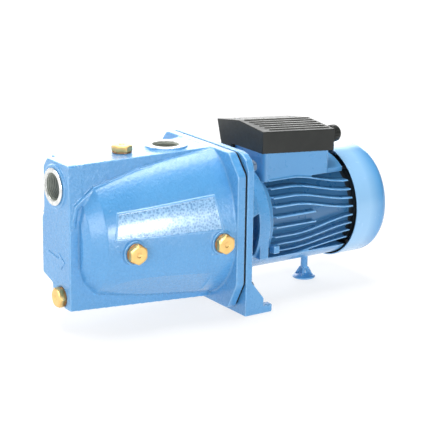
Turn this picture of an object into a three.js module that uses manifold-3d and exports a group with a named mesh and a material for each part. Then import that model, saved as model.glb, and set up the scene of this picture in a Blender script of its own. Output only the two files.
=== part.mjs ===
// Shallow well jet pump: cast pump casing, jet and impeller inside it, motor bracket, finned motor
// frame with a terminal box, and a fan cover. Millimetres, +Z up, the shaft runs along X with the
// suction port at -X and the fan at +X. Z = 0 is the ground under the bracket's feet.
import * as THREE from "three";
import { mergeVertices } from "three/addons/utils/BufferGeometryUtils.js";
import Module from "manifold-3d";

const wasm = await Module();
wasm.setup();

// ---- driving dimensions ----------------------------------------------------------------------
const SHAFT_Z = 101; // shaft axis above the ground
const ORIGIN_X = 9.4; // model X and Y of the part's origin, the middle of its footprint
const ORIGIN_Y = -3.6;
const FIT = 0.3; // gap between neighbouring parts

const FACE_X = -208; // front face of the casing
const PORT_FACE_X = -211.5; // machined face of the suction port
const PORT_BORE_R = 15.4; // both water ports
const SUCTION_Z = 170;
const DISCHARGE_X = -58;
const DISCHARGE_TOP_Z = 203;
const CASING_TOP_Z = 200;
const CASING_LOW_Z = 27; // under the front face; the keel falls from there to the flange
const CASING_TALL = 1.225; // how much taller than wide the upper half of the casing is
const CASING_WALL = 7;
// The barrel stops at this X, Z line beside the duct, in a narrow ledge out to LEDGE_Y.
const LEDGE = [[-206, 131], [-202, 152.5], [-176, 172.6], [-120, 186], [-69, 193.5], [-14, 199.3]];
const LEDGE_Y = 35.5;
const LEDGE_DEEP = 4;
const CASING_FLANGE = [-14, -3];
const GASKET = [-2.7, -0.3];
const BRACKET_FLANGE_X = 9; // the flange starts at X = 0
const BOLT_SEAT_X = 13.5;
const FLANGE_HALF_W = 90.5;
const FLANGE_TOP_Z = 200.5;
const FLANGE_LOW_Z = 8;
const CORNER_BOLTS = [
  [-75, 182],
  [75, 182],
  [-75, 31],
  [75, 31],
];

const PLUG_AF = 21.5; // hex plugs, across flats
const PLUG_SHANK_R = 7.6;
const PLUG_HEAD_H = 7.2;
const PRIMING_X = -119;
const SIDE_PLUGS = [
  { name: "side_plug_front", x: -145, z: 99, seat: 75 },
  { name: "side_plug_rear", x: -33, z: 97.5, seat: 88.5 },
];
const DRAIN = { y: -11, z: 39 };

const BELL_R = 70; // rim of the bracket's bell
const BELL_REAR_X = 50;
const FOOT_PAD = { x: 41, y0: 44, h: 9 };

const FRAME = { x0: 50.4, x1: 188, bore: 52, shell: 57, tip: 67, belly: 69 };
const FIN_T = 2.1;
const FIN_X = [61.4, 180];
const FIN_BEND = [90, 180]; // where the long fins pass from their front height to their rear height
// Heights from the shaft of the long fins nearest to it, and the step to the next one out.
const LONG_FINS = [
  { front: 20.3, rear: 7, step: 10.3 },
  { front: -17.4, rear: -4.3, step: -10.7 },
];
const SHORT_FINS = [8, -4.7];
const SHORT_FIN_END = 122;
const BOX = { x0: 54, x1: 155.5, y0: -47, y1: 38, low: 150, floor: 158, top: 185 };
const SILL_Y = 48.7; // the top fin reaches out to here, under the terminal box
const SILL_R = 70.4;
const LID = { x0: 48.3, x1: 158, y0: -52, y1: 48.5, foot: 40.5, ridgeY: 2, eave: 211, ridge: 216, near: 183.5 };
const LID_FAR_EAVE = 209.5;
const LID_SKIRT = { y: 15, z: 177 }; // the far part of the lid hangs lower
const LID_FALL = 0.0734; // the box's mouth and its lid fall by this share towards the fan cover
const LID_SCREWS = [62.5, 147.5]; // X of each, on the far slope
const LID_SCREW_Y = 24;
const TIE_RODS = [
  [-32, -53],
  [32, -53],
  [-36, 50],
  [36, 50],
]; // Y and height from the shaft
const TIE_R = 2.4;
const GLAND = { y: -32.5, z: 196.4 };
const SUPPORT_X = 155.5;

const COVER = { x0: 182, x1: 234, r: 72.5, t: 1.5, round: 12 };
const COVER_SCREWS = [50, -20, -95]; // degrees round the shaft from +Y towards +Z

// ---- materials -------------------------------------------------------------------------------
const paint = new THREE.MeshStandardMaterial({ color: 0x74aade, roughness: 0.35 });
const paintSheet = new THREE.MeshStandardMaterial({ color: 0x72a8dc, roughness: 0.3 });
const brass = new THREE.MeshStandardMaterial({ color: 0xe2b54e, metalness: 1, roughness: 0.3 });
const steel = new THREE.MeshStandardMaterial({ color: 0xb9bdc1, metalness: 1, roughness: 0.35 });
const laminated = new THREE.MeshStandardMaterial({ color: 0x7d8287, metalness: 1, roughness: 0.6 });
const copper = new THREE.MeshStandardMaterial({ color: 0xa85f35, metalness: 0.6, roughness: 0.5 });
const blackPlastic = new THREE.MeshStandardMaterial({ color: 0x2e2f2d, roughness: 0.55 });
const greyPlastic = new THREE.MeshStandardMaterial({ color: 0x5c6064, roughness: 0.6 });
const palePlastic = new THREE.MeshStandardMaterial({ color: 0xd9d6c8, roughness: 0.5 });
const rubber = new THREE.MeshStandardMaterial({ color: 0x1f1f20, roughness: 0.85 });
const ceramic = new THREE.MeshStandardMaterial({ color: 0xe8e6df, roughness: 0.4 });

// ---- solids from three.js shapes ---------------------------------------------------------------
const part = new THREE.Group();
part.name = "shallow_well_jet_pump";

function solid(geometry) {
  const plain = geometry.index ? geometry.toNonIndexed() : geometry;
  plain.deleteAttribute("normal");
  plain.deleteAttribute("uv");
  const merged = mergeVertices(plain, 1e-4);
  return new wasm.Manifold(
    new wasm.Mesh({
      numProp: 3,
      vertProperties: new Float32Array(merged.attributes.position.array),
      triVerts: new Uint32Array(merged.index.array),
    }),
  );
}

function add(name, body, material) {
  const made = body.asOriginal().simplify(0.04).getMesh();
  const geometry = new THREE.BufferGeometry();
  geometry.setAttribute("position", new THREE.BufferAttribute(new Float32Array(made.vertProperties), 3));
  geometry.setIndex(new THREE.BufferAttribute(new Uint32Array(made.triVerts), 1));
  geometry.translate(-ORIGIN_X, -ORIGIN_Y, 0);
  const mesh = new THREE.Mesh(geometry, material);
  mesh.name = name;
  part.add(mesh);
}

// Extrudes an outline along an axis from one level to another. The outline's own axes are
// (Y, Z) for "x", (X, Z) for "y" and (X, Y) for "z".
function prism(axis, outline, from, to) {
  const shape = new THREE.Shape(outline.map(([u, v]) => new THREE.Vector2(u, v)));
  const geometry = new THREE.ExtrudeGeometry(shape, { depth: to - from, bevelEnabled: false });
  const basis = new THREE.Matrix4();
  const X = new THREE.Vector3(1, 0, 0);
  const Y = new THREE.Vector3(0, 1, 0);
  const Z = new THREE.Vector3(0, 0, 1);
  if (axis === "x") {
    basis.makeBasis(Y, Z, X).setPosition(from, 0, 0);
  } else if (axis === "y") {
    basis.makeBasis(X, Z, Y.clone().negate()).setPosition(0, to, 0);
  } else {
    basis.setPosition(0, 0, from);
  }
  return solid(geometry.applyMatrix4(basis));
}

function box(x0, x1, y0, y1, z0, z1) {
  const geometry = new THREE.BoxGeometry(x1 - x0, y1 - y0, z1 - z0);
  return solid(geometry.translate((x0 + x1) / 2, (y0 + y1) / 2, (z0 + z1) / 2));
}

// A cylinder along an axis. The centre is given by the other two coordinates in X, Y, Z order.
function cyl(axis, r, from, to, [u, v], sides = 18, r2 = r) {
  const geometry = new THREE.CylinderGeometry(r2, r, to - from, sides);
  const mid = (from + to) / 2;
  if (axis === "x") {
    geometry.rotateZ(-Math.PI / 2).translate(mid, u, v);
  } else if (axis === "y") {
    geometry.translate(u, mid, v);
  } else {
    geometry.rotateX(Math.PI / 2).translate(u, v, mid);
  }
  return solid(geometry);
}

// A solid of revolution along X through (y, z), from a closed profile of [x, radius] points.
function turned(profile, sides = 28, y = 0, z = SHAFT_Z) {
  const points = profile.map(([x, r]) => new THREE.Vector2(r, x));
  if (profile[0][1] > 0) points.push(points[0].clone());
  const geometry = new THREE.LatheGeometry(points, sides);
  const body = solid(geometry.rotateZ(-Math.PI / 2).translate(0, y, z));
  if (body.volume() > 0) return body;
  const flipped = new THREE.LatheGeometry(points.slice().reverse(), sides);
  return solid(flipped.rotateZ(-Math.PI / 2).translate(0, y, z));
}

function ring(x0, x1, inner, outer, sides = 24) {
  if (inner === 0) return turned([[x0, 0], [x0, outer], [x1, outer], [x1, 0]], sides);
  return turned([[x0, inner], [x1, inner], [x1, outer], [x0, outer]], sides);
}

// Hexagonal prism along an axis, across flats af.
function hex(axis, af, from, to, centre) {
  return cyl(axis, af / Math.sqrt(3), from, to, centre, 6);
}

function turnAboutShaft(body, degrees) {
  return body.translate([0, 0, -SHAFT_Z]).rotate([degrees, 0, 0]).translate([0, 0, SHAFT_Z]);
}

function mirrored(outline) {
  return outline.concat(outline.slice().reverse().map(([u, v]) => [-u, v]));
}

const all = (list) => list.reduce((sum, body) => sum.add(body));

// ---- pump casing -------------------------------------------------------------------------------
const BARREL = [
  [-196, 44],
  [-191, 54],
  [-176, 67],
  [-120, 77],
  [-60, 84],
  [-14, 89],
];

// The casing's swelling barrel: round below the shaft, stretched upwards above it.
function barrel(grow, xFront, xRear) {
  const profile = [[xFront, 0]];
  for (const [x, r] of BARREL) {
    profile.push([Math.max(x, xFront), r + grow]);
  }
  profile.push([xRear, BARREL[BARREL.length - 1][1] + grow]);
  profile.push([xRear, 0]);
  const round = turned(profile, 32);
  const upper = box(-260, 60, -150, 150, SHAFT_Z, 320);
  const lower = box(-260, 60, -150, 150, -120, SHAFT_Z);
  const tall = round.translate([0, 0, -SHAFT_Z]).scale([1, 1, CASING_TALL]).translate([0, 0, SHAFT_Z]);
  return tall.intersect(upper).add(round.intersect(lower));
}

// Everything under the ledge.
function underLedge() {
  const [frontX] = LEDGE[0];
  const [rearX] = LEDGE[LEDGE.length - 1];
  return prism("y", [[frontX, -50], [rearX, -50], ...[...LEDGE].reverse()], -120, 120);
}

// The ledge itself, on both sides of the duct.
function ledges() {
  const low = LEDGE.map(([x, z]) => [x + LEDGE_DEEP, z - LEDGE_DEEP]);
  const band = prism("y", [...low, ...[...LEDGE].reverse()], -LEDGE_Y, LEDGE_Y);
  const reach = box(-230, CASING_FLANGE[0] + 1, -LEDGE_Y, LEDGE_Y, 0, 250);
  return band.intersect(reach).subtract(box(-230, 0, -24, 24, 0, 250));
}

// The casing flange: tall octagon with small lower corners.
function flangeOutline(inset) {
  const w = FLANGE_HALF_W - inset;
  return mirrored([
    [72 - inset / 2, FLANGE_LOW_Z + inset],
    [w, 42],
    [w, 176],
    [69 - inset / 2, FLANGE_TOP_Z - inset],
  ]);
}

function casing() {
  const front = prism(
    "x",
    [
      [-34, CASING_LOW_Z],
      [10, CASING_LOW_Z],
      [10, 51],
      [34, 58],
      [34, 126],
      [29, 134],
      [29, 189],
      [20, CASING_TOP_Z],
      [-30.5, CASING_TOP_Z],
      [-34, 122],
    ],
    FACE_X,
    -190,
  );
  const duct = prism("x", mirrored([[33, 120], [30.5, CASING_TOP_Z]]), -196, CASING_FLANGE[0] + 1);
  const keel = prism(
    "y",
    [[FACE_X + 0.5, CASING_LOW_Z], [-14, 13.5], [-14, 60], [FACE_X + 0.5, 60]],
    -34,
    34,
  ).subtract(box(-215, -190, 10, 40, 0, 70));
  const flange = prism("x", flangeOutline(0), ...CASING_FLANGE);
  const bosses = [
    cyl("x", 26, FACE_X - 2, -190, [0, SUCTION_Z], 24),
    cyl("x", 20.5, PORT_FACE_X, -200, [0, SUCTION_Z], 24),
    cyl("z", 26, 180, DISCHARGE_TOP_Z, [DISCHARGE_X, 0], 24),
  ];
  for (const plug of SIDE_PLUGS) {
    bosses.push(cyl("y", 14.5, -plug.seat, -50, [plug.x, plug.z], 20));
  }
  bosses.push(box(-47, -10, -86, -60, 84, 98));
  const panelOutline = [[-169, 114.5], [-30, 111], [-37, 155], [-161, 146]];
  const panels = barrel(1.1, -190, -14).intersect(
    prism("y", panelOutline, -120, -50).add(prism("y", panelOutline, 50, 120)),
  );
  const arrow = prism("x", [[20, 88.4], [17.5, 84.6], [-10, 81.4], [-10, 84.8]], FACE_X - 1, FACE_X + 1)
    .add(prism("x", [[-20.5, 82], [-6.5, 92.5], [-9, 83.4], [-11, 72]], FACE_X - 1, FACE_X + 1));

  // A shallow flat runs along each lower side of the barrel.
  const flats = [-1, 1].map((side) =>
    box(-62, 62, -20, 20, 0, 30)
      .rotate([0, -6.6, 0])
      .rotate([side * -133.4, 0, 0])
      .translate([-99.5, side * 55.4, 47.7]),
  );
  let outer = barrel(0, -196, -14).subtract(all(flats)).intersect(underLedge());
  outer = all([outer, ledges(), duct, keel, front, flange, panels, arrow, ...bosses]);
  outer = outer.intersect(box(-230, 0, -120, 120, FLANGE_LOW_Z, DISCHARGE_TOP_Z + 5));

  const clearTop = box(-300, 0, -200, 200, -50, CASING_TOP_Z - CASING_WALL);
  const mainRoom = barrel(-CASING_WALL, -178, 5).intersect(clearTop);
  const ductRoom = box(-178, 5, -24, 24, 120, CASING_TOP_Z - CASING_WALL);
  const suctionRoom = prism("x", mirrored([[24, 74], [24, 128], [20, 134], [20, 186], [14, 191]]), -201, -185);
  const cuts = [
    mainRoom.add(ductRoom),
    suctionRoom,
    cyl("x", PORT_BORE_R, -215, -195, [0, SUCTION_Z], 24),
    cyl("x", PORT_BORE_R + 1.6, -215, PORT_FACE_X + 1.2, [0, SUCTION_Z], 24),
    cyl("z", PORT_BORE_R, 170, 215, [DISCHARGE_X, 0], 24),
    cyl("z", PORT_BORE_R + 1.6, DISCHARGE_TOP_Z - 1.2, 215, [DISCHARGE_X, 0], 24),
    cyl("z", PLUG_SHANK_R + FIT, 170, 215, [PRIMING_X, 0]),
    cyl("x", PLUG_SHANK_R + FIT, -215, -150, [DRAIN.y, DRAIN.z]),
    cyl("x", 13, -215, FACE_X + 2, [DRAIN.y, DRAIN.z]),
    cyl("x", 16, -190, -170, [0, SHAFT_Z], 20),
  ];
  for (const plug of SIDE_PLUGS) {
    cuts.push(cyl("y", PLUG_SHANK_R + FIT, -110, -56, [plug.x, plug.z]));
  }
  for (const bolt of CORNER_BOLTS) {
    cuts.push(cyl("x", 4.3, -11, 2, bolt, 10));
  }
  return outer.subtract(all(cuts));
}

add("pump_casing", casing(), paint);

function flangeGasket() {
  const holes = CORNER_BOLTS.map((bolt) => cyl("x", 4.4, -5, 2, bolt, 10));
  const mouth = barrel(-CASING_WALL + 1, -60, 5);
  return prism("x", flangeOutline(1.6), ...GASKET).subtract(all([mouth, ...holes]));
}

add("casing_gasket", flangeGasket(), rubber);

// Hex plug with a low domed head, and the washer under it, along +Z at the origin.
function plugAndWasher(shank) {
  const head = hex("z", PLUG_AF, 2, 2 + PLUG_HEAD_H, [0, 0]).intersect(
    cyl("z", 13.5, 0, 2 + PLUG_HEAD_H, [0, 0], 18, 11.4),
  );
  const plug = head.add(cyl("z", PLUG_SHANK_R, -shank, 3, [0, 0]));
  const dimple = cyl("z", 3, 1 + PLUG_HEAD_H, 4 + PLUG_HEAD_H, [0, 0], 10);
  const washer = cyl("z", 12.6, FIT, 1.9, [0, 0], 18).subtract(cyl("z", PLUG_SHANK_R + FIT, -1, 3, [0, 0]));
  return [plug.subtract(dimple), washer];
}

function fitPlug(name, shank, place) {
  const [plug, washer] = plugAndWasher(shank).map(place);
  add(name, plug, brass);
  add(`${name}_washer`, washer, copper);
}

fitPlug("priming_plug", 13, (body) => body.translate([PRIMING_X, 0, CASING_TOP_Z]));
fitPlug("drain_plug", 14, (body) => body.rotate([0, -90, 0]).translate([FACE_X + 2, DRAIN.y, DRAIN.z]));
for (const plug of SIDE_PLUGS) {
  fitPlug(plug.name, 12, (body) => body.rotate([90, 0, 0]).translate([plug.x, -plug.seat, plug.z]));
}

// ---- jet, diffuser and impeller ----------------------------------------------------------------
add(
  "jet_nozzle",
  turned([
    [-184.8, 15.6],
    [-178.2, 15.6],
    [-178.2, 13],
    [-163, 7.5],
    [-163, 4.8],
    [-178, 10.5],
    [-184.8, 12],
  ], 20),
  brass,
);

function diffuser() {
  const tube = turned([
    [-158, 13.5],
    [-158, 17],
    [-150, 17],
    [-146, 15],
    [-60, 20],
    [-42, 22],
    [-42, 75],
    [-8, 75],
    [-8, 71],
    [-38, 71],
    [-38, 25],
    [-25, 25],
    [-25, 21.2],
    [-39, 21.2],
    [-42, 17],
    [-62, 16],
    [-140, 8.5],
    [-146, 8.5],
  ], 24);
  const vanes = [];
  for (let i = 0; i < 6; i += 1) {
    const vane = box(-38.5, -10, -1.2, 1.2, 63.5, 72);
    vanes.push(vane.rotate([i * 60, 0, 0]).translate([0, 0, SHAFT_Z]));
  }
  return tube.add(all(vanes));
}

add("diffuser", diffuser(), greyPlastic);
add("diffuser_seal_ring", ring(-156, -151, 17.3, 19.6, 24), rubber);

function impellerVane() {
  const outerEdge = [];
  const innerEdge = [];
  const steps = 4;
  for (let i = 0; i <= steps; i += 1) {
    const t = i / steps;
    const r = 21 + 40 * t;
    const angle = -1.15 * t;
    const half = 1.3 / r;
    outerEdge.push([r * Math.cos(angle + half), r * Math.sin(angle + half)]);
    innerEdge.push([r * Math.cos(angle - half), r * Math.sin(angle - half)]);
  }
  return prism("x", outerEdge.concat(innerEdge.reverse()), -21, -12).translate([0, 0, SHAFT_Z]);
}

function impeller() {
  const frontShroud = turned([
    [-34, 17],
    [-34, 20.4],
    [-23, 20.4],
    [-22, 61.5],
    [-19.8, 61.5],
    [-20.5, 17],
  ], 24);
  const backShroud = turned([
    [-13, 14],
    [-13, 61.5],
    [-10.5, 61.5],
    [-10.5, 7.3],
    [-30, 7.3],
    [-30, 13],
    [-22, 14],
  ], 24);
  const vane = impellerVane();
  const vanes = [];
  for (let i = 0; i < 6; i += 1) vanes.push(turnAboutShaft(vane, i * 60));
  const keyway = box(-40, -9, -2.2, 2.2, SHAFT_Z + 4, SHAFT_Z + 10);
  return all([frontShroud, backShroud, ...vanes]).subtract(keyway);
}

add("impeller", impeller(), brass);
add("impeller_key", box(-28, -13, -1.9, 1.9, SHAFT_Z + 4.8, SHAFT_Z + 9.7), steel);
add("impeller_nut", hex("x", 15, -36.6, -30.3, [0, SHAFT_Z]).subtract(ring(-40, -28, 0, 6.1, 16)), steel);
add(
  "seal_rotary_head",
  turned([[-10.2, 8.3], [-10.2, 12], [-6, 12], [-6, 15.5], [-0.2, 15.5], [0.7, 13], [0.7, 8.3]], 24),
  steel,
);
add("seal_seat", ring(1.1, 6.4, 9.5, 15.7, 24), ceramic);

// ---- motor bracket -----------------------------------------------------------------------------
function bracket() {
  const plate = prism(
    "x",
    mirrored([
      [38, 20],
      [43, 8],
      [FOOT_PAD.y0, 0],
      [FLANGE_HALF_W, 0],
      [FLANGE_HALF_W, 181],
      [85, 193],
      [77, 198.5],
      [68, FLANGE_TOP_Z],
    ]),
    0,
    BRACKET_FLANGE_X,
  );
  const bell = turned([
    [5, 66],
    [5, 84],
    [12, 84],
    [34, BELL_R],
    [BELL_REAR_X, BELL_R],
    [BELL_REAR_X, 63],
    [36, 63],
    [14, 77],
    [12, 66],
  ], 32);
  const hub = turned([[0, 12], [0, 24], [12, 24], [16, 20], [16, 12]], 20);
  const rearWeb = turned([[38, 14], [38, 66], [42, 66], [46, 28], [50, 28], [50, 14]], 24);
  const feet = [];
  const lugs = [];
  for (const side of [-1, 1]) {
    const y0 = side > 0 ? FOOT_PAD.y0 : -FLANGE_HALF_W;
    const y1 = side > 0 ? FLANGE_HALF_W : -FOOT_PAD.y0;
    feet.push(box(4, FOOT_PAD.x, y0, y1, 0, FOOT_PAD.h));
    const ribY = side > 0 ? FLANGE_HALF_W - 7 : -FLANGE_HALF_W;
    feet.push(prism("y", [[4, 3], [27, 3], [27, 19], [8, 43], [4, 43]], ribY, ribY + 7));
    const innerRib = side * 54;
    feet.push(prism("y", [[4, 3], [27, 3], [27, 12], [8, 40], [4, 40]], innerRib - 3, innerRib + 3));
  }
  for (const [y, z] of TIE_RODS) {
    lugs.push(cyl("x", 6, 34, BELL_REAR_X, [y, SHAFT_Z + z], 10));
  }
  for (const side of [-1, 1]) {
    lugs.push(box(37, BELL_REAR_X, side * 58.5 - 8, side * 58.5 + 8, 59, 82));
  }
  for (const [y, z] of CORNER_BOLTS) {
    lugs.push(cyl("x", 8.5, 2, BOLT_SEAT_X, [y, z], 16));
  }
  const cuts = [
    ring(-1, 6.8, 0, 16, 24),
    ring(-5, 60, 0, 12.5, 20),
    ring(36.6, 60, 0, 20.3, 28),
  ];
  for (const side of [-1, 1]) {
    const window = side > 0 ? [30, 100] : [-100, -30];
    cuts.push(box(12, 33.5, ...window, 66, 119));
    cuts.push(prism("z", [[20, 64], [20, 78], [50, 78], [50, 64]].map(([x, y]) => [x, side * y]), -5, 10));
  }
  cuts.push(box(14, 33, -16, 16, 10, 45));
  for (const [y, z] of TIE_RODS) cuts.push(cyl("x", TIE_R + FIT, 30, 60, [y, SHAFT_Z + z], 10));
  for (const bolt of CORNER_BOLTS) cuts.push(cyl("x", 4.4, -3, 20, bolt, 10));
  return all([plate, bell, hub, rearWeb, ...feet, ...lugs]).subtract(all(cuts));
}

add("motor_bracket", bracket(), paint);

CORNER_BOLTS.forEach((bolt, i) => {
  const head = hex("x", 13, BOLT_SEAT_X + FIT, BOLT_SEAT_X + 5.8, bolt);
  const shank = cyl("x", 3.9, -10, BOLT_SEAT_X + 1, bolt, 10);
  add(`casing_bolt_${i + 1}`, head.add(shank), steel);
});

add("water_slinger", turned([[24, 8.4], [24, 12], [26, 18], [27.5, 18], [29, 12], [29, 8.4]], 24), rubber);

// ---- motor frame and terminal box --------------------------------------------------------------
// Shears a body down towards the fan, about the middle of the terminal box; upright walls stay upright.
function falling(body) {
  const middle = (BOX.x0 + BOX.x1) / 2;
  return body.transform([1, 0, -LID_FALL, 0, 0, 1, 0, 0, 0, 0, 1, 0, 0, 0, LID_FALL * middle, 1]);
}

// How far the sheared lid has dropped at X.
const drop = (x) => LID_FALL * (x - (BOX.x0 + BOX.x1) / 2);

const ease = (t) => t * t * (3 - 2 * t);

function longFin({ front, rear, step }, index) {
  const stations = [FIN_X[0]];
  for (let i = 0; i <= 7; i += 1) stations.push(FIN_BEND[0] + ((FIN_BEND[1] - FIN_BEND[0]) * i) / 7);
  const middle = stations.map((x) => {
    const t = Math.max(0, (x - FIN_BEND[0]) / (FIN_BEND[1] - FIN_BEND[0]));
    return [x, SHAFT_Z + front + (rear - front) * ease(t) + index * step];
  });
  const over = middle.map(([x, z]) => [x, z + FIN_T / 2]);
  const under = middle.map(([x, z]) => [x, z - FIN_T / 2]);
  return prism("y", under.concat(over.reverse()), -80, 80);
}

// A solid cylinder on the shaft axis, from the front of the frame to the given X.
const drum = (r, toX) => turned([[FRAME.x0, 0], [FRAME.x0, r], [toX, r], [toX, 0]], 40);

function motorFrame() {
  const fins = [];
  for (const group of LONG_FINS) {
    for (let i = 0; i < 4; i += 1) fins.push(longFin(group, i));
  }
  for (const height of SHORT_FINS) {
    const z = SHAFT_Z + height;
    fins.push(box(FIN_X[0], SHORT_FIN_END, -80, 80, z - FIN_T / 2, z + FIN_T / 2));
  }
  const finZone = drum(FRAME.tip, FRAME.x1);
  const sillZone = drum(SILL_R, FIN_X[1]).intersect(box(FRAME.x0, FIN_X[1], -SILL_Y, SILL_Y, SHAFT_Z, 200));
  const sill = longFin(LONG_FINS[0], 3).intersect(sillZone);
  const collar = ring(FRAME.x0, FRAME.x0 + 9, FRAME.bore, 62.5, 40);
  const shell = ring(FRAME.x0, FRAME.x1, FRAME.bore, FRAME.shell, 40);
  const bellySkin = ring(FRAME.x0, FRAME.x1, FRAME.belly - 4, FRAME.belly, 40).intersect(
    box(0, 300, -100, 100, 0, SHAFT_Z - 47.5),
  );
  const bellyRibs = [-16, 0, 16].map((y) => box(FRAME.x0, FRAME.x1, y - 1.5, y + 1.5, 35, 55));
  const bellyDeck = box(FRAME.x0, FRAME.x1, -49, 49, SHAFT_Z - 50.5, SHAFT_Z - 47.5);
  const bellyZone = drum(FRAME.belly, FRAME.x1);
  const boxBase = box(BOX.x0, BOX.x1, BOX.y0, BOX.y1, BOX.low, BOX.top + 6);
  const boxRoom = box(BOX.x0 + 5, BOX.x1 - 5, BOX.y0 + 4.5, BOX.y1 - 4.5, BOX.floor, BOX.top + 10);
  const aboveMouth = falling(box(BOX.x0 - 20, BOX.x1 + 20, -70, 70, BOX.top, BOX.top + 30));
  const posts = LID_SCREWS.map((x) => falling(cyl("z", 4.5, BOX.floor - 3, BOX.top, [x, LID_SCREW_Y], 10)));
  const lugs = [-1, 1].map((side) => box(59.2, 67.4, side * 60 - 5.5, side * 60 + 5.5, 63, 72.5));
  const foot = cyl("z", 9, 33, 50, [SUPPORT_X, 0], 24);
  const crown = box(BOX.x1 - 1, FIN_X[1], -41, 41, 148, 190).intersect(finZone);

  let frame = all([shell, collar, all(fins).intersect(finZone), sill, bellySkin, crown]);
  frame = frame.add(all([...bellyRibs, bellyDeck]).intersect(bellyZone));
  frame = all([frame, boxBase, ...lugs, foot]).subtract(boxRoom.add(aboveMouth));
  frame = all([frame, ...posts]);
  const cuts = [
    ring(0, 260, 0, FRAME.bore, 40),
    cyl("z", 4.3, 25, 47, [SUPPORT_X, 0], 20),
    cyl("z", 5, BOX.floor - 12, BOX.floor + 2, [100, 0], 16),
  ];
  for (const x of LID_SCREWS) cuts.push(cyl("z", 2.3, BOX.floor + 4, BOX.top + 10, [x, LID_SCREW_Y], 10));
  for (const [y, z] of TIE_RODS) {
    cuts.push(cyl("x", TIE_R + FIT, 40, 200, [y, SHAFT_Z + z], 10));
  }
  return frame.subtract(all(cuts));
}

add("motor_frame", motorFrame(), paint);

function supportFoot() {
  const spin = turned([[0, 0], [0, 15], [2.5, 15], [6, 6], [12, 4.6], [31, 4.6], [31, 0]], 20, 0, 0);
  const ribs = [0, 90].map((turn) =>
    prism("y", [[-13, 2], [13, 2], [6, 14], [-6, 14]], -1.2, 1.2).rotate([0, 0, turn + 45]),
  );
  const stud = cyl("z", 4, 30, 45, [0, 0], 20);
  return all([spin.rotate([0, -90, 0]), stud, ...ribs]).translate([SUPPORT_X, 0, 0]);
}

add("support_foot", supportFoot(), paint);

// ---- stator, rotor and bearings ----------------------------------------------------------------
function statorCore() {
  const slots = [];
  for (let i = 0; i < 12; i += 1) {
    const slot = box(80, 150, -3.2, 3.2, 33, 43).add(box(80, 150, -1.2, 1.2, 28, 34));
    slots.push(slot.rotate([i * 30, 0, 0]).translate([0, 0, SHAFT_Z]));
  }
  return ring(82, 148, 30.6, FRAME.bore - FIT, 36).subtract(all(slots));
}

add("stator_core", statorCore(), laminated);
add("winding_front", turned([[65, 35], [63, 40], [66, 48], [81.6, 48], [81.6, 33]], 24), copper);
add("winding_rear", turned([[148.4, 33], [148.4, 48], [164, 48], [167, 40], [165, 35]], 24), copper);
add(
  "rotor_core",
  turned([
    [77, 16],
    [77, 28],
    [82, 28],
    [82, 29.8],
    [148, 29.8],
    [148, 28],
    [153, 28],
    [153, 16],
    [148, 13.3],
    [82, 13.3],
  ], 24),
  laminated,
);

function shaft() {
  const bar = turned([
    [-41, 0],
    [-41, 4.8],
    [-40, 5.8],
    [-30.2, 5.8],
    [-30.2, 7],
    [-10.5, 7],
    [-10.5, 8],
    [36, 8],
    [36, 8.5],
    [52.5, 8.5],
    [52.5, 11.5],
    [80, 13],
    [152, 13],
    [154, 10.5],
    [184.5, 10.5],
    [184.5, 7.5],
    [199, 7.5],
    [199, 6.8],
    [225, 6.8],
    [226, 6],
    [226, 0],
  ], 14);
  const keyway = box(-28.3, -12.7, -2.2, 2.2, SHAFT_Z + 4.5, SHAFT_Z + 9);
  const groove = ring(221.7, 223.3, 6.1, 9, 20);
  return bar.subtract(keyway.add(groove));
}

add("shaft", shaft(), steel);

function bearing(name, x0, x1, bore, outer) {
  const race = (outer - bore) * 0.3;
  add(`${name}_outer_ring`, ring(x0, x1, outer - race, outer, 24), steel);
  add(`${name}_inner_ring`, ring(x0, x1, bore, bore + race, 20), steel);
  add(`${name}_ball_cage`, ring(x0 + 1.5, x1 - 1.5, bore + race + FIT, outer - race - FIT, 20), steel);
}

bearing("front_bearing", 40, 52, 8.8, 20);
bearing("rear_bearing", 185, 196, 7.8, 17.5);

// ---- rear end: shield, fan and fan cover -------------------------------------------------------
function polar(degrees, r) {
  const angle = THREE.MathUtils.degToRad(degrees);
  return [r * Math.cos(angle), SHAFT_Z + r * Math.sin(angle)];
}

function rearShield() {
  const disc = turned([
    [182, 17.8],
    [182, 23],
    [188.3, 25],
    [188.3, 60],
    [195, 60],
    [195, 25],
    [198.6, 22],
    [198.6, 10],
    [196.4, 10],
    [196.4, 17.8],
  ], 28);
  const spigot = ring(184, 189, 47, FRAME.bore - FIT, 28);
  const lugs = [];
  const cuts = [];
  for (const degrees of COVER_SCREWS) {
    const lug = box(188.3, 195, -6, 6, 55, COVER.r - COVER.t - 1);
    lugs.push(turnAboutShaft(lug.translate([0, 0, SHAFT_Z]), degrees - 90));
    const hole = cyl("z", 1.9, 58, 80, [191.6, 0], 12).translate([0, 0, SHAFT_Z]);
    cuts.push(turnAboutShaft(hole, degrees - 90));
  }
  for (const [y, z] of TIE_RODS) cuts.push(cyl("x", TIE_R + FIT, 180, 200, [y, SHAFT_Z + z], 10));
  return all([disc, spigot, ...lugs]).subtract(all(cuts));
}

add("rear_end_shield", rearShield(), paint);

TIE_RODS.forEach(([y, z], i) => {
  const rod = cyl("x", TIE_R, 35, 197, [y, SHAFT_Z + z], 10);
  const head = hex("x", 8, 195.3, 199.5, [y, SHAFT_Z + z]);
  add(`tie_rod_${i + 1}`, rod.add(head), steel);
});

function coolingFan() {
  const hub = turned([[203, 7.1], [203, 17], [207, 17], [219, 13], [221, 11], [221, 7.1]], 16);
  const disc = ring(203, 205.5, 12, 50, 24);
  const blades = [];
  for (let i = 0; i < 8; i += 1) {
    const blade = prism("y", [[203.5, 12], [203.5, 59], [216, 59], [221, 52], [219, 12]], -1.1, 1.1);
    blades.push(turnAboutShaft(blade.translate([0, 0, SHAFT_Z]), i * 45));
  }
  return all([hub, disc, ...blades]);
}

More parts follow.
